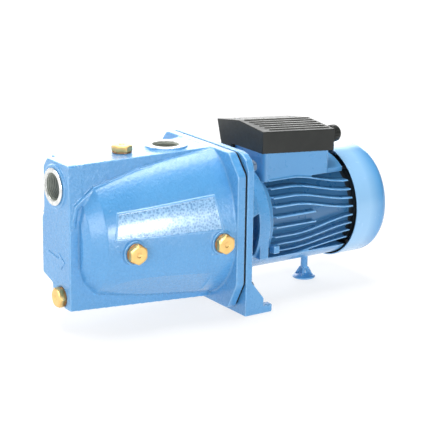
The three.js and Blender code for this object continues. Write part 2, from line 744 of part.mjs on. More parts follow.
add("cooling_fan", coolingFan(), blackPlastic);
add("fan_circlip", ring(222, 223, 6.4, 9.5, 20).subtract(box(220, 225, -2, 2, SHAFT_Z, SHAFT_Z + 12)), steel);

function fanCover() {
  const { x0, x1, r, t, round } = COVER;
  const outside = [[x0, r]];
  const inside = [[x0, r - t]];
  for (let i = 0; i <= 3; i += 1) {
    const a = (Math.PI / 2) * (i / 3);
    outside.push([x1 - round + round * Math.sin(a), r - round + round * Math.cos(a)]);
    inside.push([x1 - round + (round - t) * Math.sin(a), r - round + (round - t) * Math.cos(a)]);
  }
  const profile = [...outside, [x1, 0], [x1 - t, 0], ...inside.reverse()];
  profile.push([x0, r]);
  const cup = turned(rollToAxis(profile), 40);
  const slots = [];
  for (const inner of [18, 31, 44]) {
    slots.push(ring(x1 - 5, x1 + 5, inner, inner + 7.6, 20));
  }
  const spokes = [];
  for (let i = 0; i < 2; i += 1) {
    spokes.push(turnAboutShaft(box(x1 - 6, x1 + 6, -80, 80, SHAFT_Z - 2.5, SHAFT_Z + 2.5), 45 + i * 90));
  }
  const holes = COVER_SCREWS.map((degrees) =>
    turnAboutShaft(cyl("z", 2.2, 60, 80, [191.6, 0], 12).translate([0, 0, SHAFT_Z]), degrees - 90),
  );
  return cup.subtract(all(slots).subtract(all(spokes))).subtract(all(holes));
}

// Starts a closed profile at its point on the axis, which a turned solid needs.
function rollToAxis(profile) {
  const open = profile.slice(0, -1);
  const start = open.findIndex(([, r], i) => r === 0 && open[(i + 1) % open.length][1] !== 0);
  return open.slice(start).concat(open.slice(0, start));
}

add("fan_cover", fanCover(), paintSheet);

COVER_SCREWS.forEach((degrees, i) => {
  const head = cyl("z", 4, COVER.r + 0.2, COVER.r + 2.2, [191.6, 0], 16, 3);
  const shank = cyl("z", 1.6, 62, COVER.r + 0.6, [191.6, 0], 12);
  const screw = head.add(shank).translate([0, 0, SHAFT_Z]);
  add(`fan_cover_screw_${i + 1}`, turnAboutShaft(screw, degrees - 90), steel);
});

// ---- terminal box parts ------------------------------------------------------------------------
const GASKET_TOP = BOX.top + 2;

function lidGasket() {
  const rim = box(BOX.x0 + 0.5, BOX.x1 - 0.5, BOX.y0 + 0.5, BOX.y1 - 0.5, BOX.top + FIT, GASKET_TOP);
  const mouth = box(BOX.x0 + 5, BOX.x1 - 5, BOX.y0 + 4.5, BOX.y1 - 4.5, BOX.top - 2, GASKET_TOP + 2);
  return rim.subtract(mouth);
}

add("lid_gasket", falling(lidGasket()), rubber);

function lidShell() {
  const { x0, x1, y0, y1, foot, ridgeY, eave, ridge, near } = LID;
  const gableOutline = [[y0 + 1, near], [foot, near], [y1, LID_FAR_EAVE], [ridgeY, ridge], [y0, eave]];
  const gable = prism("x", gableOutline, x0, x1);
  const skirt = box(x0, x1, LID_SKIRT.y, foot - 1, LID_SKIRT.z, near + 1);
  const fall = (ridge - eave) / (ridgeY - y0);
  const slope = THREE.MathUtils.radToDeg(Math.atan(fall));
  const ribs = [];
  for (let i = 0; i < 6; i += 1) {
    const down = 2 + i * 8.6;
    const rib = box(x0 + 8 + i * 1.5, x1 - 3, -1.4, 1.4, -2, 1).rotate([slope, 0, 0]);
    ribs.push(rib.translate([0, ridgeY - down, ridge - down * fall]));
  }
  const seat = box(BOX.x0 - FIT, BOX.x1 + FIT, BOX.y0 - FIT, BOX.y1 + FIT, LID_SKIRT.z - 5, GASKET_TOP + FIT);
  const room = prism(
    "x",
    [
      [BOX.y0 + 5, GASKET_TOP - 1],
      [BOX.y1 - 5, GASKET_TOP - 1],
      [BOX.y1, eave - 3],
      [ridgeY, ridge - 3],
      [y0 + 5, eave - 3],
    ],
    BOX.x0 + 5,
    x1 - 5,
  );
  return all([gable, skirt, ...ribs]).subtract(seat.add(room));
}

function lid() {
  let made = falling(lidShell()).subtract(cyl("x", 8.2, LID.x1 - 15, LID.x1 + 5, [GLAND.y, GLAND.z], 18));
  for (const x of LID_SCREWS) {
    const seat = LID.eave - drop(x);
    made = made.add(falling(cyl("z", 5, GASKET_TOP + FIT, LID.eave, [x, LID_SCREW_Y], 12)));
    made = made.subtract(cyl("z", 2.3, BOX.top - 10, seat + 20, [x, LID_SCREW_Y], 10));
    made = made.subtract(cyl("z", 4.4, seat - 0.5, seat + 20, [x, LID_SCREW_Y], 12));
  }
  return made;
}

add("terminal_box_lid", lid(), blackPlastic);

LID_SCREWS.forEach((x, i) => {
  const at = [x, LID_SCREW_Y];
  const seat = LID.eave - drop(x) - 0.2;
  const head = cyl("z", 3.8, seat, seat + 2.1, at, 12, 3.2);
  add(`lid_screw_${i + 1}`, head.add(cyl("z", 1.9, BOX.floor + 10, seat + 0.5, at, 10)), steel);
});

// Everything on the gland's own axis, square to the lid's end wall.
function glandPiece(r, from, to, sides = 18, r2 = r) {
  return cyl("x", r, LID.x1 + from, LID.x1 + to, [GLAND.y, GLAND.z], sides, r2);
}

function glandBody() {
  const hexagon = hex("x", 19, LID.x1 + FIT, LID.x1 + 6.5, [GLAND.y, GLAND.z]);
  return all([hexagon, glandPiece(7.8, -8, 1), glandPiece(8, 5, 13)]).subtract(glandPiece(6, -20, 20));
}

function glandDomeNut() {
  const grip = glandPiece(11, 6.8, 15, 12);
  return grip
    .add(glandPiece(11, 15, 20, 18, 7))
    .subtract(glandPiece(8.3, 0, 13.4))
    .subtract(glandPiece(5, 0, 30));
}

add("gland_body", glandBody(), blackPlastic);
add("gland_dome_nut", glandDomeNut(), blackPlastic);
add("gland_grommet", glandPiece(5.7, 1, 13).subtract(glandPiece(4, 0, 15)), rubber);

function terminalBoard() {
  const board = box(78, 128, -36, -14, BOX.floor + FIT, BOX.floor + 5);
  const studs = [];
  for (let i = 0; i < 4; i += 1) {
    studs.push(cyl("z", 2.2, BOX.floor + 3, BOX.floor + 15, [85 + i * 12, -25], 12));
    studs.push(hex("z", 7, BOX.floor + 4, BOX.floor + 8, [85 + i * 12, -25]));
  }
  return all([board, ...studs]);
}

add("terminal_board", terminalBoard(), palePlastic);
add(
  "run_capacitor",
  turned([[68, 0], [68, 15.5], [70, 16.5], [134, 16.5], [136, 15], [136, 5], [142, 5], [142, 0]], 20, 8, 176.5),
  palePlastic,
);

export default part;
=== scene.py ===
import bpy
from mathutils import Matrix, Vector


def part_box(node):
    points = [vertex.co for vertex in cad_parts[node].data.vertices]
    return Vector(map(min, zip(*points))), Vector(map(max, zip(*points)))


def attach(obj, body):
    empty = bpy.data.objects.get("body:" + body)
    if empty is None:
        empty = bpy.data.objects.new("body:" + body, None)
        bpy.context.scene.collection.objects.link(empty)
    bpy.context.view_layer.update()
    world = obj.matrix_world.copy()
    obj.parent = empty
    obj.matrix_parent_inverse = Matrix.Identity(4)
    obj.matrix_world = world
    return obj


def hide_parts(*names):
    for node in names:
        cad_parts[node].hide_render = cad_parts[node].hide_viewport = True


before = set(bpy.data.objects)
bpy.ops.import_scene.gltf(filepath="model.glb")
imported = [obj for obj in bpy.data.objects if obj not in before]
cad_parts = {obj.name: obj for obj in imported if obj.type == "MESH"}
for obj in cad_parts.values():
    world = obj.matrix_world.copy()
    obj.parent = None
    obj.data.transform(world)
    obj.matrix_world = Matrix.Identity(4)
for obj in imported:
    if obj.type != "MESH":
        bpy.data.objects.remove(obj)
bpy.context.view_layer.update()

import math
import bpy
import bmesh
from mathutils import Matrix, Vector

# ---- the CAD's own millimetre coordinates --------------------------------------------------------
# X = 0 is the bracket flange's front face, Y = 0 the shaft's plane, Z = 0 the ground.
MM = 0.001
SHAFT_Z = 101.0
BRACKET_LOW, BRACKET_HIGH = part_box("motor_bracket")
ORIGIN = Vector((-BRACKET_LOW.x / MM, -(BRACKET_LOW.y + BRACKET_HIGH.y) / 2 / MM, 0))

FACE_X = -208.0
PORT_FACE_X = -211.5
PORT_R = 15.4
PORT_SLEEVE_R = 18.2
PORT_HOLE_R = 18.6
PORT_BOSS_R = 26
SUCTION_RING_R = 20.5
LIP_RISE = 0.4
SUCTION_Z = 170.0
DISCHARGE_X = -58.0
DISCHARGE_TOP_Z = 203.0
CASING_TOP_Z = 200.0
CASING_LOW_Z = 27.0
CASING_TALL = 1.225
LEDGE = [(-206, 131), (-202, 152.5), (-176, 172.6), (-120, 186), (-69, 193.5), (-14, 199.3)]
LEDGE_Y = 35.5
LEDGE_DEEP = 4
CASING_WALL = 7.0
CASING_FLANGE = (-14.0, -3.0)
FLANGE_HALF_W = 90.5
FLANGE_TOP_Z = 200.5
FLANGE_LOW_Z = 8.0
CORNER_BOLTS = [(-75, 182), (75, 182), (-75, 31), (75, 31)]  # Y, Z
BOLT_HOLE_R = 4.4
BOLT_SEAT_X = 13.5
SIDE_PLUGS = {"side_plug_front": (-145, 99, 75), "side_plug_rear": (-33, 97.5, 88.5)}  # X, Z, seat
DRAIN = (-11, 39)  # Y, Z
PRIMING_X = -119
FOOT = (41, 44, 9)  # its length, the near end of each pad in Y, its thickness
FRAME_X = (50.4, 188)
FRAME_BORE_R = 52
FRAME_SHELL_R = 57
FIN_R = 67
BELLY_R = 69
BELLY_TOP = SHAFT_Z - 47.5
FIN_T = 2.1
FIN_X = (61.4, 180)
FIN_BEND = (90, 180)
LONG_FINS = [(20.3, 7, 10.3), (-17.4, -4.3, -10.7)]  # height at the front, at the rear, step outwards
SHORT_FINS = (8, -4.7)
SHORT_FIN_END = 122
BOX_X = (54, 155.5)
BOX_Y = (-47, 38)
BOX_TOP = 185.0
BOX_FLOOR = 158.0
SILL_Y = 48.7
SILL_R = 70.4
LID_FALL = 0.0734
LID_SCREWS = (62.5, 147.5)
LID_SCREW_Y = 24
LID_SCREW_HOLE_R = 2.3
GLAND = (-32.5, 196.4)  # Y, Z
LID_X = (48.3, 158)
SUPPORT_X = 155.5
TIE_RODS = [(-32, -53), (32, -53), (-36, 50), (36, 50)]  # Y, height over the shaft
TIE_HOLE_R = 2.7
COVER = {"x0": 182, "x1": 234, "r": 72.5, "t": 1.5, "round": 12}
COVER_SCREWS = (50, -20, -95)  # degrees round the shaft
COVER_SCREW_X = 191.6

VOXEL = 0.85  # the remesh of the casing and the bracket, in millimetres
FRAME_VOXEL = 0.8
LID_VOXEL = 0.6
ROUND = 160


# ---- mesh making, all in those millimetres -------------------------------------------------------
def make_object(name, verts, faces):
    mesh = bpy.data.meshes.new(name)
    mesh.from_pydata([tuple(v) for v in verts], [], faces)
    mesh.validate()
    bm = bmesh.new()
    bm.from_mesh(mesh)
    bmesh.ops.recalc_face_normals(bm, faces=bm.faces)
    bm.to_mesh(mesh)
    bm.free()
    obj = bpy.data.objects.new(name, mesh)
    bpy.context.scene.collection.objects.link(obj)
    return obj


def turned(profile, sides=None, axis="x", at=(0, SHAFT_Z)):
    """A solid of revolution from (along, radius) points: open with both ends on the axis, or closed."""
    sides = sides or ROUND
    on_axis = profile[0][1] < 1e-6
    verts, rings = [], []
    for along, r in profile:
        if r < 1e-6:
            rings.append([len(verts)])
            verts.append((along, 0, 0))
            continue
        rings.append(list(range(len(verts), len(verts) + sides)))
        for k in range(sides):
            t = 2 * math.pi * k / sides
            verts.append((along, r * math.cos(t), r * math.sin(t)))
    faces = []
    pairs = list(zip(rings, rings[1:]))
    if not on_axis:
        pairs.append((rings[-1], rings[0]))
    for a, b in pairs:
        for k in range(sides):
            n = (k + 1) % sides
            if len(a) == 1 and len(b) == 1:
                continue
            if len(a) == 1:
                faces.append((a[0], b[k], b[n]))
            elif len(b) == 1:
                faces.append((a[k], a[n], b[0]))
            else:
                faces.append((a[k], a[n], b[n], b[k]))
    if axis == "x":
        placed = [(x, y + at[0], z + at[1]) for x, y, z in verts]
    elif axis == "y":
        placed = [(y + at[0], x, z + at[1]) for x, y, z in verts]
    else:
        placed = [(y + at[0], z + at[1], x) for x, y, z in verts]
    return make_object("solid", placed, faces)


def fillet(points, radius, steps=4, closed=True):
    """Rounds the corners of a polyline. radius may be one number or one for each point."""
    out = []
    count = len(points)
    radii = radius if isinstance(radius, (list, tuple)) else [radius] * count
    for i, p in enumerate(points):
        p = Vector(p)
        if not closed and i in (0, count - 1) or radii[i] <= 0:
            out.append(tuple(p))
            continue
        a = Vector(points[i - 1]) - p
        b = Vector(points[(i + 1) % count]) - p
        la, lb = a.length, b.length
        if la < 1e-6 or lb < 1e-6:
            continue
        a, b = a / la, b / lb
        half = a.angle(b, math.pi) / 2
        if half > math.pi / 2 - 0.03:
            out.append(tuple(p))
            continue
        cut = min(radii[i] / math.tan(half), la * 0.48, lb * 0.48)
        r = cut * math.tan(half)
        centre = p + (a + b).normalized() * (r / math.sin(half))
        start, end = p + a * cut - centre, p + b * cut - centre
        turn = math.atan2(start.x * end.y - start.y * end.x, start.dot(end))
        for k in range(steps + 1):
            t = turn * k / steps
            c, s = math.cos(t), math.sin(t)
            out.append(tuple(centre + Vector((start.x * c - start.y * s, start.x * s + start.y * c))))
    return out


def prism(axis, outline, low, high):
    """An extruded outline. Its own axes are (Y, Z) for "x", (X, Z) for "y" and (X, Y) for "z"."""
    verts = []
    for along in (low, high):
        for u, v in outline:
            verts.append({"x": (along, u, v), "y": (u, along, v), "z": (u, v, along)}[axis])
    n = len(outline)
    faces = [tuple(range(n)), tuple(range(n, 2 * n))]
    faces += [(i, (i + 1) % n, n + (i + 1) % n, n + i) for i in range(n)]
    return make_object("solid", verts, faces)


def block(x0, x1, y0, y1, z0, z1):
    return prism("z", [(x0, y0), (x1, y0), (x1, y1), (x0, y1)], z0, z1)


def rod(axis, r, low, high, at, sides=64):
    return turned([(low, 0), (low, r), (high, r), (high, 0)], sides, axis, at)


def hexagon(axis, across, low, high, at):
    r = across / math.sqrt(3)
    turns = [k * math.pi / 3 for k in range(6)]
    outline = [(at[0] + r * math.sin(turn), at[1] + r * math.cos(turn)) for turn in turns]
    return prism(axis, outline, low, high)


def move(obj, matrix):
    obj.data.transform(matrix)
    obj.data.update()
    return obj


def turn_about(obj, axis, degrees, centre):
    c = Matrix.Translation(Vector(centre))
    return move(obj, c @ Matrix.Rotation(math.radians(degrees), 4, axis) @ c.inverted())


def falling(obj):
    """Sheared down towards the fan, about the middle of the terminal box, as the CAD's lid is."""
    middle = (BOX_X[0] + BOX_X[1]) / 2
    shear = Matrix(((1, 0, 0, 0), (0, 1, 0, 0), (-LID_FALL, 0, 1, LID_FALL * middle), (0, 0, 0, 1)))
    return move(obj, shear)


def mirrored(outline):
    """The outline's right half with its mirror image."""
    return outline + [(-u, v) for u, v in reversed(outline)]


def evaluated(obj):
    """The object's mesh with its modifiers applied, as its new plain mesh."""
    bpy.context.view_layer.update()
    graph = bpy.context.evaluated_depsgraph_get()
    mesh = bpy.data.meshes.new_from_object(obj.evaluated_get(graph))
    obj.modifiers.clear()
    old = obj.data
    obj.data = mesh
    mesh.name = obj.name
    bpy.data.meshes.remove(old)
    return obj


def boolean(obj, tools, operation):
    for tool in tools:
        modifier = obj.modifiers.new("bool", "BOOLEAN")
        modifier.operation = operation
        modifier.object = tool
        modifier.solver = "MANIFOLD"
    evaluated(obj)
    for tool in tools:
        bpy.data.objects.remove(tool)
    return obj


def union(*objs):
    return boolean(objs[0], objs[1:], "UNION")


def cut(obj, *tools):
    return boolean(obj, tools, "DIFFERENCE")


def keep(obj, *tools):
    return boolean(obj, tools, "INTERSECT")


def cast(obj, voxel, rounds):
    """Soft, filleted edges all over, inside corners included, as on a sand casting or a moulding."""
    remesh = obj.modifiers.new("remesh", "REMESH")
    remesh.mode = "VOXEL"
    remesh.voxel_size = voxel
    smooth = obj.modifiers.new("smooth", "SMOOTH")
    smooth.factor = 0.5
    smooth.iterations = rounds
    return evaluated(obj)


def bevelled(obj, width, angle=30, segments=3):
    modifier = obj.modifiers.new("bevel", "BEVEL")
    modifier.width = width
    modifier.segments = segments
    modifier.limit_method = "ANGLE"
    modifier.angle_limit = math.radians(angle)
    modifier.miter_outer = "MITER_ARC"
    return evaluated(obj)


def finished(obj, name, body, material, stands_for=(), sharp=35):
    """Millimetres to metres in the row frame, smooth shading, material, body and CAD node."""
    obj.name = name
    obj.data.name = name
    obj.data.transform(Matrix.Scale(MM, 4) @ Matrix.Translation(-ORIGIN))
    obj.data.update()
    obj.data.shade_smooth()
    if sharp:
        obj.data.set_sharp_from_angle(angle=math.radians(sharp))
    obj.data.materials.clear()
    obj.data.materials.append(material)
    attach(obj, body)
    if stands_for:
        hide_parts(*stands_for)
    return obj


# ---- materials -----------------------------------------------------------------------------------
class Nodes:
    """A material's node tree, with short calls for the nodes used here."""

    def __init__(self, name):
        self.material = bpy.data.materials.new(name)
        self.material.use_nodes = True
        self.tree = self.material.node_tree
        self.shader = self.tree.nodes["Principled BSDF"]
        self.place = self.new("ShaderNodeTexCoord").outputs["Object"]

    def new(self, kind, **values):
        node = self.tree.nodes.new(kind)
        for key, value in values.items():
            setattr(node, key, value)
        return node

    def link(self, source, target):
        self.tree.links.new(source, target)

    def noise(self, size_mm, detail=3.0, rough=0.55, stretch=None):
        node = self.new("ShaderNodeTexNoise")
        node.inputs["Scale"].default_value = 1000.0 / size_mm
        node.inputs["Detail"].default_value = detail
        node.inputs["Roughness"].default_value = rough
        self.link(self.stretched(stretch), node.inputs["Vector"])
        return node.outputs["Fac"]

    def cells(self, size_mm):
        node = self.new("ShaderNodeTexVoronoi")
        node.inputs["Scale"].default_value = 1000.0 / size_mm
        self.link(self.place, node.inputs["Vector"])
        return node.outputs["Distance"]

    def stretched(self, scale):
        if scale is None:
            return self.place
        node = self.new("ShaderNodeMapping")
        node.inputs["Scale"].default_value = scale
        self.link(self.place, node.inputs["Vector"])
        return node.outputs["Vector"]

    def ramp(self, source, stops):
        node = self.new("ShaderNodeValToRGB")
        elements = node.color_ramp.elements
        while len(elements) < len(stops):
            elements.new(0.5)
        for element, (position, value) in zip(elements, stops):
            element.position = position
            colour = value if isinstance(value, (tuple, list)) else (value,) * 3
            element.color = (*colour, 1)
        self.link(source, node.inputs["Fac"])
        return node.outputs["Color"]

    def mix(self, factor, a, b):
        node = self.new("ShaderNodeMix", data_type="RGBA")
        for value, socket in ((factor, node.inputs[0]), (a, node.inputs[6]), (b, node.inputs[7])):
            if isinstance(value, bpy.types.NodeSocket):
                self.link(value, socket)
            elif isinstance(value, (tuple, list)):
                socket.default_value = (*value, 1)
            else:
                socket.default_value = value
        return node.outputs[2]

    def pointed(self):
        return self.new("ShaderNodeNewGeometry").outputs["Pointiness"]

    def from_shaft(self):
        """The distance from the shaft's axis, in decimetres, so that a ramp can take it."""
        across = self.new("ShaderNodeMapping")
        across.inputs["Location"].default_value = (0, 10 * ORIGIN.y * MM, -10 * SHAFT_Z * MM)
        across.inputs["Scale"].default_value = (0, 10, 10)
        self.link(self.place, across.inputs["Vector"])
        length = self.new("ShaderNodeVectorMath", operation="LENGTH")
        self.link(across.outputs["Vector"], length.inputs[0])
        return length.outputs["Value"]

    def set(self, **values):
        for key, value in values.items():
            socket = self.shader.inputs[key.replace("_", " ")]
            if isinstance(value, bpy.types.NodeSocket):
                self.link(value, socket)
            elif isinstance(value, (tuple, list)):
                socket.default_value = (*value, 1)
            else:
                socket.default_value = value

    def bump(self, *layers):
        """Each layer is (height, depth in millimetres)."""
        normal = None
        for height, depth in layers:
            node = self.new("ShaderNodeBump")
            node.inputs["Distance"].default_value = depth * MM
            node.inputs["Strength"].default_value = 1.0
            self.link(height, node.inputs["Height"])
            if normal is not None:
                self.link(normal, node.inputs["Normal"])
            normal = node.outputs["Normal"]
        self.link(normal, self.shader.inputs["Normal"])


BLUE = (0.078, 0.290, 0.585)
BLUE_PALE = (0.095, 0.320, 0.620)
# the deep blue is painted shade for seams and inside corners
BLUE_SEAM_SHADE = (0.012, 0.075, 0.200)
# the edge blue is a painted highlight on sharp edges
BLUE_EDGE_HIGHLIGHT = (0.42, 0.68, 0.92)
# the groove blue is painted shade between the fins
BLUE_GROOVE_SHADE = (0.012, 0.065, 0.15)
# the darker stipple blue is painted shade in the pits, the paler one a painted highlight on the ridges
STIPPLE_PIT_SHADE = (0.055, 0.225, 0.49)
STIPPLE_RIDGE_SHEEN = (0.30, 0.56, 0.84)


def paint(name, grain, wobble, rough=0.26, seam_shade=0.5, grooves=False):
    """Blue enamel, darker in its seams as painted shade and paler on its edges as painted highlight, and
    with grooves also darker near the shaft, as painted shade between the fins.
    """
    m = Nodes(name)
    colour = m.mix(m.ramp(m.noise(60, 4), [(0.35, 0.0), (0.7, 1.0)]), BLUE, BLUE_PALE)
    speck = m.ramp(m.noise(1.6, 2), [(0.62, 0.0), (0.72, 0.35)])
    colour = m.mix(speck, colour, BLUE_PALE)
    # painted shade: darker where the surface is concave, in seams and inside corners
    seam_shade_mask = m.ramp(m.pointed(), [(0.42, seam_shade), (0.478, 0.0)])
    colour = m.mix(seam_shade_mask, colour, BLUE_SEAM_SHADE)
    # painted highlight: paler on sharp convex edges
    edge_highlight_mask = m.ramp(m.pointed(), [(0.515, 0.0), (0.57, 0.55)])
    colour = m.mix(edge_highlight_mask, colour, BLUE_EDGE_HIGHLIGHT)
    # painted shade: darker towards the shaft, in the grooves between the fins
    if grooves:
        colour = m.mix(m.ramp(m.from_shaft(), [(0.575, 0.62), (0.65, 0.0)]), colour, BLUE_GROOVE_SHADE)
    m.set(Base_Color=colour)
    m.set(Roughness=m.ramp(m.noise(9, 4), [(0.3, rough - 0.05), (0.7, rough + 0.08)]))
    m.set(Coat_Weight=0.65, Coat_Roughness=0.22, Coat_IOR=1.5)
    m.bump((m.noise(7, 3), wobble), (m.noise(2.8, 3, 0.6), grain))
    return m.material


def stippled_paint():
    """The glossy blue of the side panels, over a pebbled field, darker in its pits and paler on its ridges
    as painted shade and painted highlight.
    """
    m = Nodes("stippled_paint")
    cells = m.cells(2.7)
    # painted shade in the pits and painted highlight on the ridges of the pebbling, following the bump
    colour = m.mix(m.ramp(cells, [(0.15, 0.0), (0.75, 1.0)]), STIPPLE_PIT_SHADE, STIPPLE_RIDGE_SHEEN)
    m.set(Base_Color=colour, Roughness=m.ramp(m.noise(3, 2), [(0.3, 0.22), (0.7, 0.38)]))
    m.set(Coat_Weight=1.0, Coat_Roughness=0.22, Coat_IOR=1.9)
    m.bump((cells, 0.95), (m.noise(1.0, 2), 0.16))
    return m.material


def metal(name, colour, dark, rough, lines=None, depth=0.01, spots=0.5):
    """Bare metal with duller spots and a fine grain, drawn out into lines where they are given."""
    m = Nodes(name)
    tone = m.ramp(m.noise(6, 4), [(0.35, 0.0), (0.75, spots)])
    m.set(Base_Color=m.mix(tone, colour, dark), Metallic=1.0)
    fine = m.noise(0.9, 3, 0.6, lines)
    m.set(Roughness=m.ramp(fine, [(0.25, rough - 0.07), (0.75, rough + 0.1)]))
    m.bump((fine, depth), (m.noise(4, 2), depth * 2))
    return m.material


def machined(name, colour, axis):
    """Fine lathe marks round an axis, given by its direction and the shift that brings it to the origin."""
    m = Nodes(name)
    direction, place = axis
    wave = m.new("ShaderNodeTexWave", wave_type="RINGS", rings_direction=direction)
    shift = m.new("ShaderNodeMapping")
    shift.inputs["Location"].default_value = place
    m.link(m.place, shift.inputs["Vector"])
    m.link(shift.outputs["Vector"], wave.inputs["Vector"])
    wave.inputs["Scale"].default_value = 320
    wave.inputs["Distortion"].default_value = 0.4
    m.set(Base_Color=m.mix(m.ramp(m.noise(5, 3), [(0.4, 0.0), (0.8, 0.6)]), colour, (0.42, 0.42, 0.40)))
    m.set(Metallic=0.75, Roughness=m.ramp(wave.outputs["Fac"], [(0.0, 0.22), (1.0, 0.42)]))
    m.bump((wave.outputs["Fac"], 0.03))
    return m.material


def plastic(name, colour, pale, rough, grain=0.03, size=0.7, shine=0.5):
    """A mottled moulding, rubber or ceramic with a fine grain and shallow waves."""
    m = Nodes(name)
    m.set(Specular_IOR_Level=shine)
    grey = m.ramp(m.noise(30, 4), [(0.3, 0.0), (0.75, 1.0)])
    m.set(Base_Color=m.mix(grey, colour, pale))
    m.set(Roughness=m.ramp(m.noise(5, 4), [(0.3, rough - 0.06), (0.7, rough + 0.1)]))
    m.bump((m.noise(size, 2), grain), (m.noise(18, 2), grain * 3))
    return m.material


CAST_PAINT = paint("cast_paint", 0.6, 0.6)
FINE_PAINT = paint("fine_cast_paint", 0.07, 0.22, rough=0.3, seam_shade=0.35)
SHEET_PAINT = paint("sheet_paint", 0.015, 0.12, rough=0.2)
# painted shade: near black for insides seen only through the dark gap under the fan cover
GAP_SHADE = plastic("painted_gap_shade", (0.010, 0.018, 0.026), (0.018, 0.028, 0.038), 0.6)
# the frame's paint has painted shade in the grooves between its fins
FRAME_PAINT = paint("frame_paint", 0.07, 0.22, rough=0.3, seam_shade=0.35, grooves=True)
STIPPLE = stippled_paint()
BRASS = metal("brass", (0.92, 0.62, 0.25), (0.78, 0.48, 0.15), 0.36)
COPPER = metal("copper", (0.42, 0.24, 0.12), (0.22, 0.12, 0.07), 0.45)
WINDING = metal("enamelled_copper", (0.50, 0.20, 0.07), (0.22, 0.07, 0.03), 0.34, (1, 1, 6), 0.2)
STEEL = metal("bright_steel", (0.62, 0.63, 0.65), (0.36, 0.37, 0.38), 0.24)
ZINC = metal("zinc_plated_steel", (0.36, 0.40, 0.45), (0.20, 0.22, 0.24), 0.40)
# painted reflection: the zinc is darkened and tinted blue for the blue casing it mirrors
BOLT_ZINC_BLUE_REFLECTION = metal("zinc_painted_blue_reflection", (0.17, 0.25, 0.36), (0.08, 0.12, 0.18), 0.38)
LAMINATED = metal("laminated_steel", (0.24, 0.25, 0.27), (0.10, 0.10, 0.10), 0.48, (22, 1, 1), 0.12)
PORT_AXIS = ("X", (0, 0, -SUCTION_Z * MM))
PORT_METAL = machined("machined_port_x", (0.80, 0.81, 0.79), PORT_AXIS)
TOP_AXIS = ("Z", ((ORIGIN.x - DISCHARGE_X) * MM, 0, 0))
TOP_METAL = machined("machined_port_z", (0.84, 0.85, 0.84), TOP_AXIS)
BLACK = plastic("black_plastic", (0.009, 0.011, 0.010), (0.018, 0.020, 0.018), 0.40, 0.03, shine=0.42)
# painted highlight: a paler black for the lid's ribs, where light catches them
RIB_HIGHLIGHT = plastic("black_plastic_rib_highlight", (0.05, 0.05, 0.045), (0.13, 0.13, 0.12), 0.34, 0.03)
# painted shade: a darker grey for the inside of the threaded ports
BORE_SHADE = plastic("painted_bore_shade", (0.24, 0.27, 0.23), (0.34, 0.36, 0.31), 0.45, 0.02)
GREY = plastic("grey_plastic", (0.10, 0.11, 0.12), (0.15, 0.16, 0.17), 0.5)
PALE = plastic("pale_plastic", (0.66, 0.63, 0.54), (0.74, 0.72, 0.66), 0.3)
RUBBER = plastic("black_rubber", (0.006, 0.008, 0.010), (0.014, 0.016, 0.018), 0.72, 0.05, shine=0.2)
CERAMIC = plastic("pale_ceramic", (0.78, 0.76, 0.70), (0.86, 0.84, 0.80), 0.22, 0.005)
FLOOR = plastic("white_floor", (0.22, 0.22, 0.22), (0.24, 0.24, 0.24), 0.8, 0.01)
FLOOR.node_tree.nodes["Principled BSDF"].inputs["Emission Color"].default_value = (1, 1, 1, 1)
FLOOR.node_tree.nodes["Principled BSDF"].inputs["Emission Strength"].default_value = 0.75


# ---- pump casing ---------------------------------------------------------------------------------
BARREL = [(-196, 44), (-191, 54), (-176, 67), (-120, 77), (-60, 84), (-14, 89)]
BARREL_SLOPE = {-176: 0.20, -120: 0.145, -60: 0.112, -14: 0.105}  # the crease at -176 stays sharp


def barrel_radius(x):
    """The barrel's radius: straight at the nose, then one smooth curve through its stations."""
    for (x0, r0), (x1, r1) in zip(BARREL, BARREL[1:]):
        if x > x1:
            continue
        span = x1 - x0
        t = max(0.0, (x - x0) / span)
        if x0 not in BARREL_SLOPE:
            return r0 + (r1 - r0) * t
        bend = t * (1 - t) ** 2 * BARREL_SLOPE[x0] - t * t * (1 - t) * BARREL_SLOPE[x1]
        return r0 + (r1 - r0) * t * t * (3 - 2 * t) + bend * span
    return BARREL[-1][1]


def barrel(grow, front, rear):
    """A length of the barrel, grown or shrunk, and stretched upwards over the shaft."""
    stations = [front] + [x for x, r in BARREL[:3] if front < x < rear]
    stations += [x for x in range(-172, int(rear) - 1, 4) if x > front] + [rear]
    profile = [(front, 0)] + [(x, barrel_radius(x) + grow) for x in stations] + [(rear, 0)]
    obj = turned(profile)
    for v in obj.data.vertices:
        if v.co.z > SHAFT_Z:
            v.co.z = SHAFT_Z + (v.co.z - SHAFT_Z) * CASING_TALL
    return obj


def ledges():
    """The narrow ledge in which the barrel ends beside the duct, on both sides."""
    low = [(x + LEDGE_DEEP, z - LEDGE_DEEP) for x, z in LEDGE]
    band = prism("y", low + LEDGE[::-1], -LEDGE_Y, LEDGE_Y)
    return cut(keep(band, block(-230, -13, -LEDGE_Y, LEDGE_Y, 0, 250)), block(-230, 0, -24, 24, 0, 250))


def flange_outline(inset, round_by=9):
    """The square flange with its corners cut, less an inset all round."""
    w = FLANGE_HALF_W - inset
    corners = [
        (72 - inset / 2, FLANGE_LOW_Z + inset),
        (w, 42),
        (w, 176),
        (69 - inset / 2, FLANGE_TOP_Z - inset),
    ]
    return fillet(mirrored(corners), round_by, 5)


